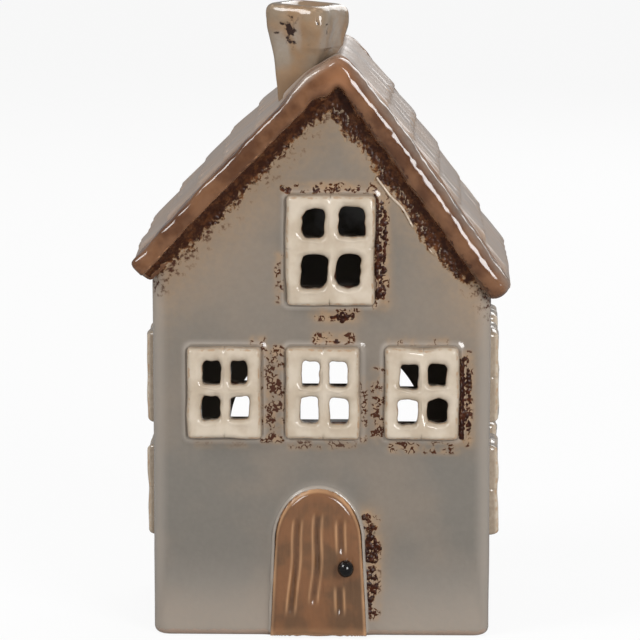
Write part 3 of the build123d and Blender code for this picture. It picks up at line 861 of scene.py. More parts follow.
barge_glaze = glazed(
    "bargeboard_glaze",
    thick=colour(110, 76, 52),
    drift=colour(80, 50, 31),
    thin=colour(184, 136, 98),
    iron=colour(66, 36, 20),
    # The tint tone is grey glaze near the apex, and painted sheen on the right roll's top edge.
    tint=colour(150, 136, 124),
    pool_and_painted_light=colour(150, 104, 72),
    specks=0.2,
    cloud=130.0,
    gloss=0.08,
)
for word, side in (("front", -1), ("rear", 1)):
    tip = roll_tip * (1 - np.cos(np.linspace(0, pi / 2, roll_tip_rows)))
    between = np.linspace(roll_tip - 1, 1 - roll_tip, roll_rows)
    share = np.concatenate([-1 + tip[:-1], between, 1 - tip[::-1][1:]])
    S, A = np.meshgrid(share, round_turn(roll_sides), indexing="ij")
    end = (1 - np.abs(S)) * np.where(S < 0, left_run, right_run)
    close_left = shoulder(end, end_left, end_left_power)
    close = np.where(S < 0, close_left, shoulder(end, end_right, end_right_power))
    on_left = ease(S, 0.08, -0.04)
    power = np.where(np.sin(A) < 0, 2 / 4.0, 2 / (2.1 + 2.4 * on_left))
    across, through = curved(np.cos(A), power), curved(np.sin(A), power)
    tucked = left_tuck * on_left * ease(-S, 0.03, 0.14) * ease(through, -0.1, 0.25)
    low_half = roll_half - tucked - apex_tuck * bell(S, 0, apex_reach)
    depth = roll_half - np.where(across > 0, roll_half, low_half) * across * close
    proud = np.where(through > 0, roll_proud * through * np.maximum(close, 0.02), roll_back * through)
    x, z = bent(S, depth)
    rest = np.stack([x, side * (roll_y + proud), z], -1)
    normal_x, normal_z = outward_of(S)
    swell = roll_wander * wander(rest, 21) + thumb_height * lattice_noise(rest, thumb_size, 24)
    swell = (swell + grain_height * lattice_noise(rest, grain_size, 25)) * close
    raised = swell * across + belly(S, side * 45.0) * (0.5 + 0.5 * across)
    pushed = side * np.maximum(through, 0) * swell * 0.8
    outer = rest + np.stack([normal_x * raised, pushed, normal_z * raised], -1)
    outer[..., 1] = np.clip(outer[..., 1], -verge_limit, verge_limit)
    apex = bell(S, 0.01, 0.09) * ease(across, -0.9, -0.2)
    left_edge = bell(depth, 5.3, 0.3) * (through > 0.3) * ease(S, -0.1, -0.3)
    # The right roll's top edge is paler and greyer: partly thinner glaze, partly painted sheen.
    right_top_thin_and_sheen = ease(across, 0.3, 0.9) * ease(S, 0.02, 0.12)
    right_foot = ease(0.3 * lattice_noise(rest, 2.6, 27) - across, 0.45, 0.95) * (1 - on_left)
    greyed = bell(S, -0.12, 0.1) * ease(across, 0.5, 0.85)
    add_piece(
        f"{word}_verge_roll",
        outer.reshape(-1, 3),
        looped(*S.shape),
        [f"{word}_bargeboard_left", f"{word}_bargeboard_right"],
        barge_glaze,
        masks={
            "thin": 0.4 * left_edge,
            "pool_and_painted_light": apex * (0.6 + 0.4 * lattice_noise(rest, 5.0, 26)),
            "stain_and_shade": 0.6 * right_foot,
            "tint": np.maximum(greyed, 0.5 * right_top_thin_and_sheen),
        },
    )

# Crust: where the brown glaze ran off the rolls, and beside the frames and the door, it boiled
# into dark beads with pale rings. Each crust is a sheet of beads whose edge sinks into the wall.
crust_cell, crust_root = 0.3, 1.2
bead_size, bead_height, bead_sink = 1.4, 0.36, 0.3
spread_limit, kept_limit = -0.6, -0.55
# The rim tone is a painted highlight along a run's raised rim.
bare_ground, rim_sheen_tone = colour(138, 118, 96), colour(196, 180, 162)


def crusted(name, dark, rust, ring):
    """A boiled glaze: dark and rusty tones, thin paler rings, tan and then ground at its fringe.

    Where the rim mask is high, on the raised rim of a run, it's smooth and painted pale, a
    painted highlight along the rim.
    """
    cell_scale, ring_radius, relief = 620.0, 0.42, 0.00012
    finish, tree, shader, position = new_finish(name)
    fringe, rim_sheen = mask_of(tree, "fringe"), mask_of(tree, "rim_sheen")
    cells = cell_distance(tree, position, cell_scale)
    outward = stepped(tree, fringe, 0.05, 0.6, 0.1, 1.0)
    patchy = stepped(tree, speckle(tree, position, 240.0), 0.46, 0.62, 0.0, 0.8)
    patchy = sums(tree, "MULTIPLY", patchy, outward)
    ringed = sums(tree, "MULTIPLY", near_ring(tree, cells, ring_radius, 0.03, 0.1), patchy)
    rusted = stepped(tree, speckle(tree, position, 420.0), 0.45, 0.66)
    rusted = sums(tree, "MULTIPLY", rusted, stepped(tree, fringe, 0.0, 0.45, 0.4, 1.0))
    lined = blend(tree, ringed, blend(tree, rusted, dark, rust), ring)
    torn = stepped(tree, speckle(tree, position, 640.0, 3.0, 0.65), 0.3, 0.7, -0.5, 0.5)
    ragged = sums(tree, "ADD", fringe, torn)
    thinned = blend(tree, stepped(tree, ragged, 0.35, 0.75, 0.0, 0.5), lined, ring)
    faded = blend(tree, stepped(tree, ragged, 0.55, 0.95), thinned, bare_ground)
    tree.links.new(blend(tree, stepped(tree, rim_sheen, 0.4, 0.8), faded, rim_sheen_tone), shader.inputs["Base Color"])
    tree.links.new(stepped(tree, rim_sheen, 0.2, 0.6, 0.33, 0.07), shader.inputs["Roughness"])
    embossed(tree, shader, cells, relief)
    shader.inputs["Specular IOR Level"].default_value = 0.2
    return finish


def beads(across, up, size, seed):
    """Domes from 0 to 1 high, one about each jittered point of a square lattice."""
    height = np.zeros(across.shape)
    here_u, here_v = np.floor(across / size).astype(np.int64), np.floor(up / size).astype(np.int64)
    for i in (-1, 0, 1):
        for k in (-1, 0, 1):
            cell_u, cell_v = here_u + i, here_v + k
            mixed = scrambled((cell_u * 73856093 ^ cell_v * 19349663 ^ seed * 83492791) & 0xFFFFFFFF)
            slip_u, slip_v, grown = mixed >> 3 & 255, mixed >> 11 & 255, (mixed >> 19 & 255) / 255
            centre_u = (cell_u + 0.5 + 0.35 * (slip_u / 127.5 - 1)) * size
            centre_v = (cell_v + 0.5 + 0.35 * (slip_v / 127.5 - 1)) * size
            gap = np.hypot(across - centre_u, up - centre_v) / (size * (0.3 + 0.3 * grown))
            height = np.maximum(height, np.sqrt(np.clip(1 - gap**2, 0, 1)) * (0.4 + 0.6 * grown))
    return height


def wall_face(side, x, z):
    """How far a gable's glaze stands from the middle plane, with its rounded corners and pools."""
    past = np.clip((np.abs(x) - half_width + corner_radius) / corner_radius, 0, 0.98)
    back = corner_radius * (1 - np.sqrt(1 - past**2))
    rest = upright(x, z, side * (half_depth - back))
    push = wall_wander * wander(rest) + (side < 0) * pool_height * pooled(x, z)
    return half_depth - back + push * np.sqrt(1 - past**2)


def crust_sheet(side, x, z, cover, heap, seed, extra=0.0, flat=1.0, firm=0.95):
    """Grids of a sheet of crust on a gable, its outside and its inside, and its fringe mask.

    Beads stand on a heap over the wall where cover is above 0, and sink into it below 0. The
    fringe fades in as cover falls from firm. The wall's own relief counts by the share flat, and
    extra raises the outside alone.
    """
    face = half_depth + (wall_face(side, x, z) - half_depth) * flat
    raised = heap + bead_height * beads(x, z, bead_size, seed)
    height = ease(cover, -0.1, 0.8) * raised - bead_sink * ease(cover, 0.0, -0.4)
    outer = np.stack([x, side * (face + height + extra), z], -1)
    inner = np.stack([x, side * (face - crust_root), z], -1)
    return outer, inner, 1 - ease(cover, -0.1, firm)


def cell_mean(grid):
    """Middle value of each cell of a grid, from two opposite corners."""
    return (grid[1:, 1:] + grid[:-1, :-1]) / 2


spill_tones = colour(42, 16, 6), colour(92, 44, 17), colour(158, 118, 76)
crust_tones = colour(48, 22, 10), colour(98, 58, 30), colour(150, 112, 74)
spill_glaze, crust_glaze = crusted("spill_glaze", *spill_tones), crusted("crust_glaze", *crust_tones)

# Verge crusts hang in runs below the rolls, heaped up against them. They reach further on the
# right slope and at the apex, and draw in towards the eaves. On the right each run ends in a
# raised and broken rim.
verge_end, verge_columns, verge_depths, slope_length = 0.985, 640, (4.9, 17.5), 95
left_reach, right_reach, apex_more, left_less, right_less = 11.6, 15.2, 2.0, 3.0, 6.5
left_heap, left_heap_zone, right_heap, right_heap_zone, verge_fade = 3.3, (5.2, 9.8), 1.5, (8.0, 11.0), 2.4
rim_height, rim_reach, wall_limit, roll_depth, right_start = 0.9, 0.45, 52.0, 8.4, 7.4
for word, side, seed in (("front", -1, 91), ("rear", 1, 95)):
    share = np.linspace(-verge_end, verge_end, verge_columns)
    S, D = np.meshgrid(share, np.arange(*verge_depths, crust_cell), indexing="ij")
    x, z = bent(S, D)
    lengthways = np.stack([S * slope_length, 0 * S, 0 * S], -1)
    on_left = ease(S, 0.07, -0.07)
    on_right = 1 - on_left
    reach = left_reach * on_left + right_reach * on_right + apex_more * bell(S, 0, 0.08)
    reach = reach - (left_less * on_left + right_less * on_right) * ease(np.abs(S), 0.8, verge_end)
    reach = reach + 0.9 * lattice_noise(lengthways, 9.0, seed)
    ragged = layered(upright(x, z), (1.1, 1.3, seed + 1), (0.8, 3.6, seed + 2))
    cover = np.clip((reach - D + ragged) / verge_fade, spread_limit, 1)
    heap = left_heap * (1 - ease(D, *left_heap_zone)) * on_left
    heap = heap + right_heap * (1 - ease(D, *right_heap_zone)) * on_right
    broken = ease(lattice_noise(lengthways, 8.0, seed + 3), -0.15, 0.2)
    # The rim is raised, and is also painted pale along it as a painted highlight.
    rim = bell(D - reach, -0.1, rim_reach) * on_right * broken * ease(S, 0.1, 0.2) * ease(S, 0.8, 0.7)
    outer, inner, fringe = crust_sheet(side, x, z, cover, heap, seed, rim_height * rim, ease(D, 8.0, 9.0))
    over_wall = (np.abs(x[1:, 1:]) < wall_limit) | (D[1:, 1:] < roll_depth)
    off_right_roll = (S[1:, 1:] < 0.12) | (D[1:, 1:] > right_start)
    points, faces = shell(outer, inner, (cell_mean(cover) > kept_limit) & over_wall & off_right_roll)
    masks = {"fringe": np.tile(fringe.ravel(), 2), "rim_sheen": np.tile(rim.ravel(), 2)}
    add_piece(f"{word}_verge_crust", points, faces, [], crust_glaze, masks=masks)

# Wall crusts fill the patches beside the frames and the door, where glaze ran together and
# boiled. They are flat sheets of the same beads, with ragged edges.
patch_margin, patch_round_share, patch_fade, wall_firm = 1.8, 0.45, 1.3, 0.3
sheets, meshes, fringes, count = [], [], [], 0
for number, (low_x, high_x, low_z, high_z, spread) in enumerate(crust_patches):
    across = np.arange(low_x - patch_margin, high_x + patch_margin, crust_cell)
    x, z = np.meshgrid(across, np.arange(low_z - patch_margin, high_z + patch_margin, crust_cell))
    rounding = patch_round_share * min(high_x - low_x, high_z - low_z)
    inside = -box_gap(x, z, (low_x, high_x, low_z, high_z), rounding)
    ragged = layered(upright(x, z), (1.2, 1.7, 120 + number), (0.9, 3.6, 140 + number))
    cover = np.clip((inside + ragged + spread) / patch_fade, spread_limit, 1)
    outer, inner, fringe = crust_sheet(-1, x, z, cover, 0.0, 160 + number, firm=wall_firm)
    points, faces = shell(outer, inner, cell_mean(cover) > kept_limit)
    sheets.append(points)
    meshes.append(faces + count)
    fringes.append(np.tile(fringe.ravel(), 2))
    count += len(points)
add_piece(
    "front_wall_crusts",
    np.concatenate(sheets),
    np.concatenate(meshes),
    [],
    spill_glaze,
    masks={"fringe": np.concatenate(fringes)},
)

# Chimney: a square flue built up by hand, turned askew on the slope beside the ridge, flared
# and finished with a rolled lip. Its glaze is pitted in two patches on the front.
chimney_x, chimney_top = -4.9, 203.0
head_height, seat_sink, flue_gap, seat_limit = 14.0, 1.6, 0.3, 185.5
lip_zone, lip_tilt, tilt_from, crack_depth = 6.0, 0.05, -6.0, 0.5
profile_rows, smoothing, chimney_columns, lip_rows_outside = 280, 9, 240, 5
chimney_glaze = glazed(
    "chimney_glaze",
    thick=colour(138, 110, 82),
    drift=colour(129, 113, 95),
    thin=colour(176, 150, 122),
    iron=colour(40, 20, 10),
    tint=colour(150, 142, 132),
    specks=0.06,
    cloud=85.0,
    ripple=0.0007,
)
# Profile of the square: how far below the top, and half its width there.
outside = [(37.0, 7.0), (30.0, 7.4), (23.0, 7.9), (17.5, 8.3)]
outside += [(13.5, 8.9), (10.6, 9.6), (8.4, 10.4), (6.8, 10.9)]
lip = [(5.4, 11.1), (3.4, 11.15), (1.9, 10.9), (0.8, 10.3), (0.2, 9.4)]
lip += [(0.0, 8.3), (0.1, 7.2), (0.5, 6.2), (1.3, 5.3)]
inside = [(2.6, 4.7), (5.0, 4.5), (12.0, 4.5), (20.0, 4.5), (30.0, 4.5), (44.0, 4.5)]
# Patches of pits on the front: x and z of the middle, half width, half height and depth.
pit_patches = [(-10.4, 194.0, 4.6, 4.2, 1.0), (-0.4, 196.0, 2.6, 3.4, 0.8)]
marks = np.array(outside + lip + inside)
run = np.concatenate([[0], np.cumsum(np.hypot(*np.diff(marks, axis=0).T))])
fine_run = np.linspace(0, run[-1], profile_rows)


def smoothed(values):
    """The marks' values along the profile, each the mean of the ones near it."""
    padded = np.pad(np.interp(fine_run, run, values), smoothing // 2, "edge")
    return np.convolve(padded, np.ones(smoothing) / smoothing, "valid")


below, half = smoothed(marks[:, 0]), smoothed(marks[:, 1])
B, A = np.meshgrid(below, round_turn(chimney_columns), indexing="ij")
is_outside = np.broadcast_to((fine_run < run[len(outside) + lip_rows_outside])[:, None], B.shape)
power = 5 + 4 * ease(B, 5, 12)
reach = half[:, None] * (np.abs(np.cos(A)) ** power + np.abs(np.sin(A)) ** power) ** (-1 / power)
u, v = reach * np.cos(A), reach * np.sin(A)
x = chimney_x + u * cos(chimney_turn) - v * sin(chimney_turn)
y = chimney_y + u * sin(chimney_turn) + v * cos(chimney_turn)
slope = np.minimum(ridge_z - (ridge_x - x) * tan(left_pitch), seat_limit)
seat = np.where(is_outside, slope - seat_sink, slope - roof_thickness / cos(left_pitch) + flue_gap)
deepest = np.where(is_outside, below[0], below[-1])
fall = np.clip((B - head_height) / (deepest - head_height), 0, 1)
neck = chimney_top - head_height
z = np.where(B > head_height, neck + (seat - chimney_top + head_height) * fall, chimney_top - B)
rest = np.stack([x, y, z], -1)
pits = [deep * bell(x, at_x, wide) * bell(z, at_z, high) for at_x, at_z, wide, high, deep in pit_patches]
pits = np.maximum.reduce(pits) * (y < chimney_y)
cracks = bell(lattice_noise(rest, 3.2, 35), 0, 0.2) * pits * ease(lattice_noise(rest, 2.4, 36), -0.5, 0.0)
push = layered(rest, (0.55, 7.0, 31), (0.2, 3.2, 32))
push = np.where(is_outside, push - crack_depth * cracks, 0)
outer = rest + np.stack([np.cos(A + chimney_turn) * push, np.sin(A + chimney_turn) * push, 0 * push], -1)
tilted = outer[..., 2] - lip_tilt * (u - tilt_from) * ease(B, lip_zone, 0)
outer[..., 2] = np.where(B < lip_zone, tilted, outer[..., 2])
outer[..., 2] = np.minimum(outer[..., 2], chimney_top)
runs = lattice_noise(rest * (1.0, 1.0, 0.25), 4.0, 34)
drips = ease(runs, 0.0, 0.6) * ease(B, 30, 8)
add_piece(
    "chimney_stack",
    outer.reshape(-1, 3),
    looped(*B.shape, round_rows=True),
    ["chimney"],
    chimney_glaze,
    masks={"thin": 0.45 * bell(B, 1.0, 2.2) * is_outside, "stain_and_shade": 1.2 * cracks, "tint": 0.7 * drips},
)

# Window frames: thick little slabs with their panes pushed through by hand, so that the bars
# are soft cushions, under a cream glaze that breaks tan on the edges.
frame_proud, frame_proud_left, frame_proud_right, frame_sunk = 4.0, 2.8, 3.3, 0.5
frame_corner, frame_edge, frame_edge_power = 1.5, 2.5, 2.4
bar_edge, bar_power, bar_low, bar_rise = 2.4, 1.8, 0.46, 0.49
face_rows, pane_columns = 21, 16
pane_walls = (0.12, 0.3, 0.45, 0.52)
hand_slip, hand_lean, nick, nick_size = 0.35, 0.05, 0.35, 1.9
sill_out, sill_reach, sill_height, crease_half, crease_depth = 1.1, 0.6, 0.12, 0.8, 0.03
# Height and size of the waves in a frame's outline, and of the swelling of its face.
sway, tremor, swelling = (0.4, 7.0), (0.12, 2.6), (0.13, 6.0)
window_glaze = glazed(
    "window_glaze",
    thick=colour(173, 158, 139),
    drift=colour(188, 175, 158),
    thin=colour(160, 126, 94),
    iron=colour(110, 74, 48),
    tint=colour(146, 130, 112),
    specks=0.02,
    cloud=110.0,
    gloss=0.1,
)


def soft_square(a, b, power):
    """Moves points of a square's rim onto a superellipse of the same reach."""
    size = (np.abs(a) ** power + np.abs(b) ** power) ** (1 / power)
    return a / size, b / size


def hand_cut(window, seed):
    """A window's four panes, each cut a little unevenly, as box sides and a lean."""
    luck = np.random.default_rng(seed)
    return [
        (*(np.array(p) + luck.uniform(-hand_slip, hand_slip, 4)), luck.uniform(-hand_lean, hand_lean))
        for p in pane_rectangles(window)
    ]


def window_frame(window, panes, seed):
    """Grid of points, as across, up and out, over a pierced frame, and its masks.

    Each of the four panes owns a cell of the frame. Rows of points lead from the cell's rim on
    the back to the pane, out through it and over the face to the rim again. A row's height is
    a rounded shoulder from the pane times a steeper one from the frame's outer edge.
    """
    width, height = window.width, window.height
    crossing = (window.bottom - window.top) / 2
    inner_x, inner_z = width / 2 - frame_corner, height / 2 - frame_corner
    side = np.linspace(-1, 1, pane_columns + 1)[:-1]
    one = np.ones_like(side)
    rim_a = np.concatenate([side, one, -side, -one])
    rim_b = np.concatenate([-one, side, one, -side])
    luck = np.random.default_rng(seed)
    over_face = (1 - np.cos(np.linspace(0, pi, face_rows))) / 2
    share = np.concatenate([[1, 0], 0 * np.array(pane_walls), over_face])[:, None]
    wall_out = np.concatenate([[0, 0], pane_walls, np.full(face_rows, np.nan)])[:, None]
    sheets, masks, faces, count = [], [], [], 0
    for number, (low_x, high_x, low_z, high_z, lean) in enumerate(panes):
        i, k = (-1, 1)[number // 2], (-1, 1)[number % 2]
        border_x = i * width / 4 * (1 + i * rim_a)
        low, high = (-height / 2, crossing) if k < 0 else (crossing, height / 2)
        border_z = low + (high - low) * (rim_b + 1) / 2
        past_x, past_z = np.abs(border_x) - inner_x, np.abs(border_z) - inner_z
        past = np.hypot(np.clip(past_x, 0, None), np.clip(past_z, 0, None))
        bend = np.where((past_x > 0) & (past_z > 0), frame_corner / np.maximum(past, 1e-6), 1.0)
        border_x = np.where(past_x > 0, np.sign(border_x) * (inner_x + past_x * bend), border_x)
        border_z = np.where(past_z > 0, np.sign(border_z) * (inner_z + past_z * bend), border_z)
        pane_a, pane_b = soft_square(rim_a, rim_b, luck.uniform(4.0, 6.0))
        half_x, half_z = (high_x - low_x) / 2, (high_z - low_z) / 2
        cut = np.stack([pane_a * half_x, pane_b * half_z, 0 * pane_a + 9.0 * seed + 31.0 * number], -1)
        nick_x, nick_z = (nick * lattice_noise(cut, nick_size, layer) for layer in (44, 45))
        pane_x = (low_x + high_x) / 2 - window.across + pane_a * half_x + lean * pane_b * half_z + nick_x
        pane_z = (low_z + high_z) / 2 - window.z + pane_b * half_z + nick_z
        x = pane_x + (border_x - pane_x) * share
        z = pane_z + (border_z - pane_z) * share
        from_pane = np.hypot(x - pane_x, z - pane_z)
        past = np.hypot(np.clip(np.abs(x) - inner_x, 0, None), np.clip(np.abs(z) - inner_z, 0, None))
        from_rim = np.minimum(np.minimum(width / 2 - np.abs(x), height / 2 - np.abs(z)), frame_corner - past)
        edge_shoulder = shoulder(np.clip(from_rim, 0, None), frame_edge, frame_edge_power)
        sill = bell(from_pane, sill_out, sill_reach) * ease(-pane_b, 0.5, 0.95)
        crease = bell(x, 0, crease_half) * ease(np.abs(z - crossing), height * 0.36, height * 0.42)
        cushion = bar_low + bar_rise * shoulder(from_pane, bar_edge, bar_power)
        crown = edge_shoulder * (cushion + sill_height * sill - crease_depth * crease)
        out = np.where(np.isnan(wall_out), crown, wall_out * edge_shoulder)
        sheets.append(np.stack([x, z, out], -1).reshape(-1, 3))
        breaking = 0.55 * bell(from_rim, 0.8, 0.5) + 0.55 * ease(from_pane, 0.6, 0.0) * (share > 0)
        masks.append(np.stack([breaking, ease(from_rim, 0.62, 0.28)], -1).reshape(-1, 2))
        faces.append(looped(*x.shape, first=count))
        count += x.size
    return np.concatenate(sheets), np.concatenate(masks), np.concatenate(faces)


def set_window(name, window, panes, node_name, seed, spot, right, out, proud):
    """Makes a frame and stands it on a wall at a spot, with its right and outward directions.

    Two sizes of noise wave its outline, and one swells its face.
    """
    points, breaking, faces = window_frame(window, panes, seed)
    flat = np.stack([points[:, 0], points[:, 1], 0 * points[:, 0] + seed * 40.0], -1)
    wave_x, wave_z = (
        layered(flat, (*sway, coarse), (*tremor, fine)) for coarse, fine in ((41, 46), (42, 47))
    )
    swell = 1 + layered(flat, (*swelling, 43))
    across, up = points[:, 0] + wave_x, points[:, 1] + wave_z
    stand = points[:, 2] * swell * (proud + frame_sunk) - frame_sunk
    place = np.array(spot) + across[:, None] * np.array(right) + stand[:, None] * np.array(out)
    place[:, 2] += up
    masks = {"thin": breaking[:, 0], "tint": breaking[:, 1]}
    add_piece(name, place, faces, [node_name], window_glaze, masks=masks)


for number, (name, window) in enumerate(windows.items()):
    spot, right, out = (window.across, -half_depth, window.z), (1, 0, 0), (0, -1, 0)
    set_window(f"{name}_frame", window, pane_boxes[name], name, 60 + number, spot, right, out, frame_proud)
for side, word, proud in ((-1, "left", frame_proud_left), (1, "right", frame_proud_right)):
    for number, (name, window) in enumerate(side_windows.items()):
        spot, right, out = (side * half_width, window.across, window.z), (0, side, 0), (side, 0, 0)
        seed = 70 + number + 10 * (side > 0)
        panes, node_name = hand_cut(window, seed), f"{word}_{name}"
        set_window(f"{node_name}_frame", window, panes, node_name, seed, spot, right, out, proud)

# Door: an arched slab of clay, luted to the wall, with the joints of its planks gouged out before
# it dried. Its brown glaze broke pale along the edge, and is painted paler there still as painted
# light on the door's shaded steep sides; the banks of the gouges are painted pale as painted
# highlights, and the gouges darker as painted shade.
door_edge, door_edge_power, door_columns, door_rows, outline_steps = 2.3, 2.2, 97, 141, 60
gouge_reach, gouge_depth, gouge_sway, gouge_sway_size = 0.95, 0.8, 0.45, 12.0
bank_out, bank_reach, bank_height, brush_height, door_wander = 1.4, 0.36, 0.35, 0.22, 0.3
# Each gouge: x of its line at the foot and at the head, then z of the foot and of the head.
gouges = [(-9.9, -6.9, 7.0, 39.5), (-2.1, -0.5, 10.7, 41.3), (6.4, 6.0, 7.0, 17.6), (6.7, 6.7, 27.1, 39.5)]
door_glaze = glazed(
    "door_glaze",
    thick=colour(116, 80, 54),
    drift=colour(94, 69, 49),
    thin=colour(176, 130, 92),
    iron=colour(60, 34, 22),
    # The tint tone paints the gouges darker, as painted shade.
    tint=colour(80, 56, 40),
    # The pool tone paints the pale edge, partly as painted light, and the banks as painted highlights.
    pool_and_painted_light=colour(184, 142, 104),
    specks=0.03,
    cloud=120.0,
    gloss=0.1,
)


def door_arch(angle):
    """Point of the arch over the jambs, half an ellipse, from the right spring at 0 to the left at pi."""
    rise = door_top_z - door_spring_z
    return door_x + door_spring * np.cos(angle), door_spring_z + rise * np.sin(angle)


cols = np.sin(np.linspace(-pi / 2, pi / 2, door_columns))
rows = (1 - np.cos(np.linspace(0, pi, door_rows))) / 2
V, U = np.meshgrid(rows, cols, indexing="ij")
crown = door_spring_z + (door_top_z - door_spring_z) * np.sqrt(np.clip(1 - U**2, 0, 1)) ** 0.95
Z = door_lift + V * (crown - door_lift)
X = door_x + U * door_half(Z)
jamb_out = np.linspace(door_spring, door_foot, outline_steps)
jamb_down = np.linspace(door_spring_z, door_lift, outline_steps)
along_foot = door_x + np.linspace(-door_foot, door_foot, outline_steps)
outline = np.concatenate(
    [
        np.stack(door_arch(np.linspace(0, pi, 80)), -1),
        np.stack([door_x - jamb_out, jamb_down], -1),
        np.stack([along_foot, np.full(outline_steps, door_lift)], -1),
        np.stack([door_x + jamb_out[::-1], jamb_down[::-1]], -1),
    ]
)
edge_gap = np.min(np.hypot(X[..., None] - outline[:, 0], Z[..., None] - outline[:, 1]), axis=-1)
edge_gap = np.where((np.abs(U) > 1 - 1e-9) | (V < 1e-9) | (V > 1 - 1e-9), 0, edge_gap)
rest = upright(X, Z, -half_depth)
carved, banks = np.zeros_like(X), np.zeros_like(X)
for foot_x, head_x, foot_z, head_z in gouges:
    line = foot_x + (head_x - foot_x) * (Z - foot_z) / (head_z - foot_z)
    line = line + gouge_sway * lattice_noise(upright(0 * Z + head_x, Z), gouge_sway_size, 51)
    fade = ease(Z, foot_z - 0.5, foot_z + 3.5) * ease(Z, head_z + 0.5, head_z - 3.0)
    carved = np.maximum(carved, bell(X, line, gouge_reach) * fade)
    bank = bell(np.abs(X - line), bank_out, bank_reach) * fade
    banks = np.maximum(banks, bank * (0.75 + 0.35 * lattice_noise(rest + head_x, 6.0, 54)))
brushed = lattice_noise(upright(X * 4.2, Z * 0.35), 3.0, 52)
swell = door_proud * shoulder(edge_gap, door_edge, door_edge_power) - gouge_depth * carved
swell += bank_height * banks * ease(edge_gap, 0.5, 2.0)
swell += (brush_height * brushed + door_wander * wander(rest, 53)) * ease(edge_gap, 1.8, 4.5)
outer = rest + np.stack([0 * swell, -swell, 0 * swell], -1)
inner = rest + np.array([0, frame_sunk, 0])
points, faces = shell(outer, inner, np.ones((len(rows) - 1, len(cols) - 1), bool))
# Pale along the edge, partly where the glaze broke and partly painted light on the door's shaded sides, and
# pale on the banks of the gouges as painted highlights.
rubbed_and_lit = (0.75 + 0.4 * lattice_noise(rest, 4.0, 55)) * ease(edge_gap, 1.3, 0.5)
pale_and_lit = np.clip(rubbed_and_lit + 0.85 * banks + 0.3 * ease(Z, 4.5, 1.0), 0, 1)
# The tint darkens the gouges as painted shade.
masks = {"pool_and_painted_light": outside_only(pale_and_lit), "tint": outside_only(0.6 * carved)}
add_piece("door_slab", points, faces, ["door"], door_glaze, masks=masks)

# Door bead: the wall's glaze crept up against the door and set as a thin shiny bead round it,
# from one foot of the door to the other.
bead_foot, bead_rows, bead_sides, bead_tuck = 0.7, 60, 24, 0.05
bead_half, half_varies, bead_high, high_varies, taper_points = 1.0, 0.15, 1.4, 0.3, 4.0
jamb_z = np.linspace(bead_foot, door_spring_z, bead_rows)[:-1]
arch_x, arch_z = door_arch(np.linspace(0, pi, 2 * bead_rows + 1))
path_x = np.concatenate([door_x + door_half(jamb_z), arch_x, door_x - door_half(jamb_z)[::-1]])
path_z = np.concatenate([jamb_z, arch_z, jamb_z[::-1]])
along_x, along_z = np.gradient(path_x), np.gradient(path_z)
size = np.hypot(along_x, along_z)
out_x, out_z = (along_z / size)[:, None], (-along_x / size)[:, None]
from_end = np.minimum(np.arange(len(path_x)), np.arange(len(path_x))[::-1])
taper = shoulder(from_end, taper_points)
uneven = lattice_noise(upright(path_x, path_z), 5.0, 56)
bead_width = ((bead_half + half_varies * uneven) * taper)[:, None]
bead_rise = ((bead_high + high_varies * uneven) * taper)[:, None]
angle = round_turn(bead_sides)
offset = bead_width * np.cos(angle) - bead_tuck
bead_y = -half_depth - bead_rise * np.sin(angle)
ring = np.stack([path_x[:, None] + out_x * offset, bead_y, path_z[:, None] + out_z * offset], -1)
add_piece(
    "door_glaze_bead",
    ring.reshape(-1, 3),
    looped(*ring.shape[:2]),
    [],
    wall_glaze,
    masks={"pool_and_painted_light": np.ones(ring.shape[0] * ring.shape[1])},
)

# Door knob: a bead of clay pressed onto the door and dipped in black glaze, an ellipsoid that is
# a little taller than it is wide.
knob_x, knob_z, knob_out = 8.0, 23.4, 1.6
knob_half_width, knob_half_height, knob_half_depth = 2.6, 2.8, 2.9
knob_glaze = glazed(
    "knob_glaze",
    thick=colour(12, 11, 11),
    drift=colour(9, 8, 8),
    thin=colour(60, 44, 34),
    iron=colour(8, 6, 6),
    tint=colour(8, 6, 6),
    specks=0.0,
    gloss=0.05,
    coat=0.0,
)
P, T = np.meshgrid(np.linspace(0, pi, 25), round_turn(40), indexing="ij")
x = knob_x + knob_half_width * np.sin(P) * np.cos(T)
y = -half_depth - door_proud - knob_out - knob_half_depth * np.cos(P)
z = knob_z + knob_half_height * np.sin(P) * np.sin(T)
knob = np.stack([x, y, z], -1).reshape(-1, 3)
add_piece("door_knob_bead", knob, looped(*P.shape), ["door_knob"], knob_glaze)


# Floor: the slab that closes the bottom, luted between the walls under the same glaze. Its CAD
# mesh stays and takes the glaze.
def refinished(node_name, finish):
    """Gives a CAD node's own mesh a better material."""
    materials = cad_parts[node_name].data.materials
    materials.clear()
    materials.append(finish)


refinished("floor_slab", wall_glaze)

# Tealight: a pressed aluminium cup with fine flutes and a rolled rim, filled with wax round a
# twisted cotton wick that stands in a tin sustainer. It rides on the body that slides out.
cup_radius, cup_height, cup_wall, wax_depth = 19.0, 15.0, 0.3, 11.5
cup_top, wax_top = floor_top + cup_height, floor_top + cup_wall + wax_depth
flute_count, flute_depth, flute_inset, cup_sides = 60, 0.11, 0.12, 480
flute_foot, flute_full, flute_head, flute_rows = floor_top + 0.9, floor_top + 2.2, cup_top - 1.0, 12
wick_radius, wick_start, wick_free, wick_bend = 0.75, floor_top + 3.0, 6.5, 14.0
wick_strands, wick_twist, wick_rows, wick_sides, wick_end = 3, 1.6, 90, 36, 0.35


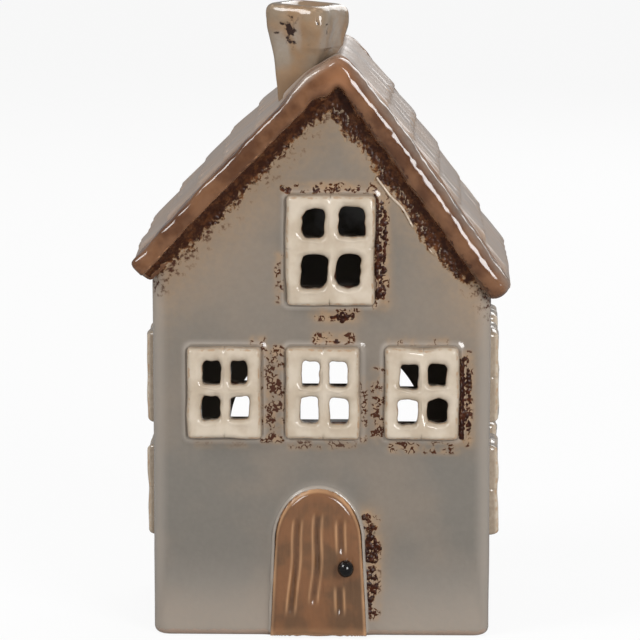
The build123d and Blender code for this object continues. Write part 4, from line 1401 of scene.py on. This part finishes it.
def plain_finish(name, tone, rough, metal=0.0):
    """An unglazed finish: a tone that drifts a little, and its shader tree to work on."""
    finish, tree, shader, position = new_finish(name)
    darker = tuple(0.82 * part for part in tone[:3]) + (1.0,)
    tree.links.new(blend(tree, speckle(tree, position, 260.0), darker, tone), shader.inputs["Base Color"])
    rubbed_and_lit = stepped(tree, speckle(tree, position, 900.0, 2.0), 0.3, 0.7, rough - 0.06, rough + 0.08)
    tree.links.new(rubbed_and_lit, shader.inputs["Roughness"])
    shader.inputs["Metallic"].default_value = metal
    return finish, tree, shader, position


def roughened(tree, shader, position, squeeze, scale, distance):
    """Adds a fine relief to a finish: noise that is squeezed along each axis by a factor."""
    squeezed = node(tree, "ShaderNodeMapping", {"Vector": position, "Scale": squeeze}).outputs[0]
    embossed(tree, shader, speckle(tree, squeezed, scale), distance)


def turned(profile, sides, flutes=0, depth=0.0):
    """Points of a profile of radius, height and waviness, turned round the cup's upright axis.

    Where a row's waviness is above 0, a cosine of so many flutes waves its radius.
    """
    R, A = np.meshgrid(profile[:, 0], round_turn(sides), indexing="ij")
    z = np.broadcast_to(profile[:, 1:2], R.shape)
    fluted = profile[:, 2:3] * depth * np.cos(flutes * A)
    return np.stack([(R + fluted) * np.cos(A), (R + fluted) * np.sin(A), z], -1)


cup_finish, tree, shader, position = plain_finish("cup_aluminium", colour(214, 215, 217), 0.3, 1.0)
roughened(tree, shader, position, (1.0, 1.0, 12.0), 300.0, 0.00006)
wall_z = np.linspace(flute_foot, flute_head, flute_rows)
waviness, fluted_radius = ease(wall_z, flute_foot, flute_full), np.full(flute_rows, cup_radius - flute_inset)
outer_wall = np.stack([fluted_radius, wall_z, waviness], -1)
inner_wall = np.stack([fluted_radius - cup_wall, wall_z, waviness], -1)[::-1]
bottom = [(0.0, floor_top, 0), (9.0, floor_top, 0), (17.8, floor_top, 0), (18.55, floor_top + 0.25, 0)]
rim = [(19.1, cup_top - 0.75, 0), (19.42, cup_top - 0.6, 0), (19.5, cup_top - 0.35, 0)]
rim += [(19.4, cup_top - 0.08, 0), (19.15, cup_top, 0)]
rim += [(18.85, cup_top - 0.05, 0), (18.66, cup_top - 0.35, 0)]
within = [(18.0, floor_top + 0.5, 0), (17.6, floor_top + cup_wall, 0), (0.0, floor_top + cup_wall, 0)]
cup_profile = np.concatenate([bottom, outer_wall, rim, inner_wall, within])
cup = turned(cup_profile, cup_sides, flute_count, flute_depth)
add_piece(
    "tealight_cup_fluted",
    cup.reshape(-1, 3),
    looped(*cup.shape[:2]),
    ["tealight_cup"],
    cup_finish,
    body="tealight",
)

wax_finish, tree, shader, position = plain_finish("wax", colour(228, 222, 208), 0.38)
shader.inputs["Subsurface Weight"].default_value = 0.35
shader.inputs["Subsurface Radius"].default_value = (0.004, 0.003, 0.002)
roughened(tree, shader, position, (1.0, 1.0, 1.0), 120.0, 0.0002)
# The wax's radius, and its height over the level top or over the floor.
over_top = [(0.8, 0.25), (1.3, 0.08), (2.4, 0.0), (6.0, -0.04), (11.0, -0.02), (15.5, 0.0)]
over_top += [(17.4, 0.08), (18.2, 0.25), (18.45, 0.42), (18.5, 0.3)]
over_floor = [(18.5, 1.3), (17.6, 0.4), (6.2, 0.4), (6.2, 0.85), (0.8, 0.85)]
cake_profile = [(radius, wax_top + rise, 0) for radius, rise in over_top]
cake_profile += [(radius, floor_top + rise, 0) for radius, rise in over_floor]
cake = turned(np.array(cake_profile), 128)
add_piece(
    "tealight_wax_cake",
    cake.reshape(-1, 3),
    looped(*cake.shape[:2], round_rows=True),
    ["tealight_wax"],
    wax_finish,
    body="tealight",
)

wick_finish, tree, shader, position = plain_finish("wick_cotton", colour(222, 214, 194), 0.85)
roughened(tree, shader, position, (1.0, 1.0, 0.3), 2600.0, 0.00008)
straight = wax_top - wick_start
length = straight + wick_free
S, A = np.meshgrid(np.linspace(0, length, wick_rows), round_turn(wick_sides), indexing="ij")
turn = np.clip(S - straight, 0, None) / wick_bend
strands = wick_radius * (0.88 + 0.12 * np.abs(np.cos(wick_strands / 2 * A - S * wick_twist)))
strands = strands * np.sqrt(np.clip(np.minimum(S, length - S) / wick_end, 0, 1))
off, sideways = strands * np.cos(A), strands * np.sin(A)
x = wick_bend * (1 - np.cos(turn)) + off * np.cos(turn)
z = wick_start + np.minimum(S, straight) + wick_bend * np.sin(turn) - off * np.sin(turn)
add_piece(
    "tealight_wick_twist",
    np.stack([x, sideways, z], -1).reshape(-1, 3),
    looped(*S.shape),
    ["tealight_wick"],
    wick_finish,
    body="tealight",
)

tin_finish, tree, shader, position = plain_finish("sustainer_tin", colour(176, 176, 178), 0.34, 1.0)
roughened(tree, shader, position, (1.0, 1.0, 1.0), 700.0, 0.00005)
refinished("wick_sustainer", tin_finish)

# Studio: a pale floor under three soft lamps, and the camera where the photographer stood. What
# the camera sees of floor and world is white, and what the glaze mirrors of them is dimmer.
camera = bpy.data.cameras.new("camera")
camera.lens, camera.sensor_width = 217.0, 36.0
view = bpy.data.objects.new("camera", camera)
bpy.context.scene.collection.objects.link(view)
eye, target = Vector((0.03242, -1.25618, 0.28768)), Vector((-0.00151, 0.0, 0.09646))
view.location = eye
view.rotation_mode = "QUATERNION"
view.rotation_quaternion = (target - eye).to_track_quat("-Z", "Y")
bpy.context.scene.camera = view

floor_white, floor_white_share = (1, 1, 1, 1), 0.9
floor_mirrored, floor_mirrored_share = 0.12, 0.8
floor_mesh = bpy.data.meshes.new("studio_floor")
floor_mesh.from_pydata([(-6, -6, 0), (6, -6, 0), (6, 9, 0), (-6, 9, 0)], [], [(0, 1, 2, 3)])
studio_floor = bpy.data.objects.new("studio_floor", floor_mesh)
bpy.context.scene.collection.objects.link(studio_floor)
floor_finish = bpy.data.materials.new("studio_floor")
floor_finish.use_nodes = True
tree = floor_finish.node_tree
shader = tree.nodes["Principled BSDF"]
shader.inputs["Base Color"].default_value = (0.8, 0.8, 0.8, 1)
shader.inputs["Roughness"].default_value = 0.9
shader.inputs["Specular IOR Level"].default_value = 0.0
path = node(tree, "ShaderNodeLightPath")
shown = sums(tree, "MAXIMUM", path.outputs["Is Camera Ray"], path.outputs["Is Transmission Ray"])
glow = node(tree, "ShaderNodeEmission", {"Color": floor_white, "Strength": 1.0})
dim = node(tree, "ShaderNodeEmission", {"Color": floor_white, "Strength": floor_mirrored})
mirrored = sums(tree, "MULTIPLY", path.outputs["Is Glossy Ray"], floor_mirrored_share)
seen = node(tree, "ShaderNodeMixShader", {0: mirrored, 1: shader.outputs[0], 2: dim.outputs[0]})
whitened = sums(tree, "MULTIPLY", shown, floor_white_share)
mixed = node(tree, "ShaderNodeMixShader", {0: whitened, 1: seen.outputs[0], 2: glow.outputs[0]})
tree.links.new(mixed.outputs[0], tree.nodes["Material Output"].inputs["Surface"])
floor_mesh.materials.append(floor_finish)

world_light, world_mirrored = 0.4, 0.26
world = bpy.data.worlds.new("studio")
bpy.context.scene.world = world
world.use_nodes = True
tree = world.node_tree
plain = tree.nodes["Background"]
plain.inputs["Color"].default_value = (1, 1, 1, 1)
white = node(tree, "ShaderNodeBackground", {"Color": (1, 1, 1, 1), "Strength": 1.0})
path = node(tree, "ShaderNodeLightPath")
mirrored = sums(tree, "MULTIPLY", path.outputs["Is Glossy Ray"], world_light - world_mirrored)
tree.links.new(sums(tree, "SUBTRACT", world_light, mirrored), plain.inputs["Strength"])
seen = path.outputs["Is Camera Ray"]
mixed = node(tree, "ShaderNodeMixShader", {0: seen, 1: plain.outputs[0], 2: white.outputs[0]})
tree.links.new(mixed.outputs[0], tree.nodes["World Output"].inputs["Surface"])


def softbox(name, place, aim, size, energy):
    """A square area lamp at a place, facing a point."""
    lamp = bpy.data.lights.new(name, "AREA")
    lamp.shape, lamp.size, lamp.energy = "SQUARE", size, energy
    lamp_object = bpy.data.objects.new(name, lamp)
    lamp_object.location = place
    lamp_object.rotation_mode = "QUATERNION"
    lamp_object.rotation_quaternion = (Vector(aim) - Vector(place)).to_track_quat("-Z", "Y")
    bpy.context.scene.collection.objects.link(lamp_object)


house_middle = (0, 0, 0.1)
softbox("left_softbox", (-0.8, -0.53, 0.93), house_middle, 0.52, 8.0)
softbox("right_softbox", (0.62, -1.06, 0.52), house_middle, 0.54, 11.2)
softbox("rear_softbox", (0.5, 1.2, 0.9), house_middle, 1.0, 8.0)

bpy.context.scene.view_settings.view_transform = "Standard"
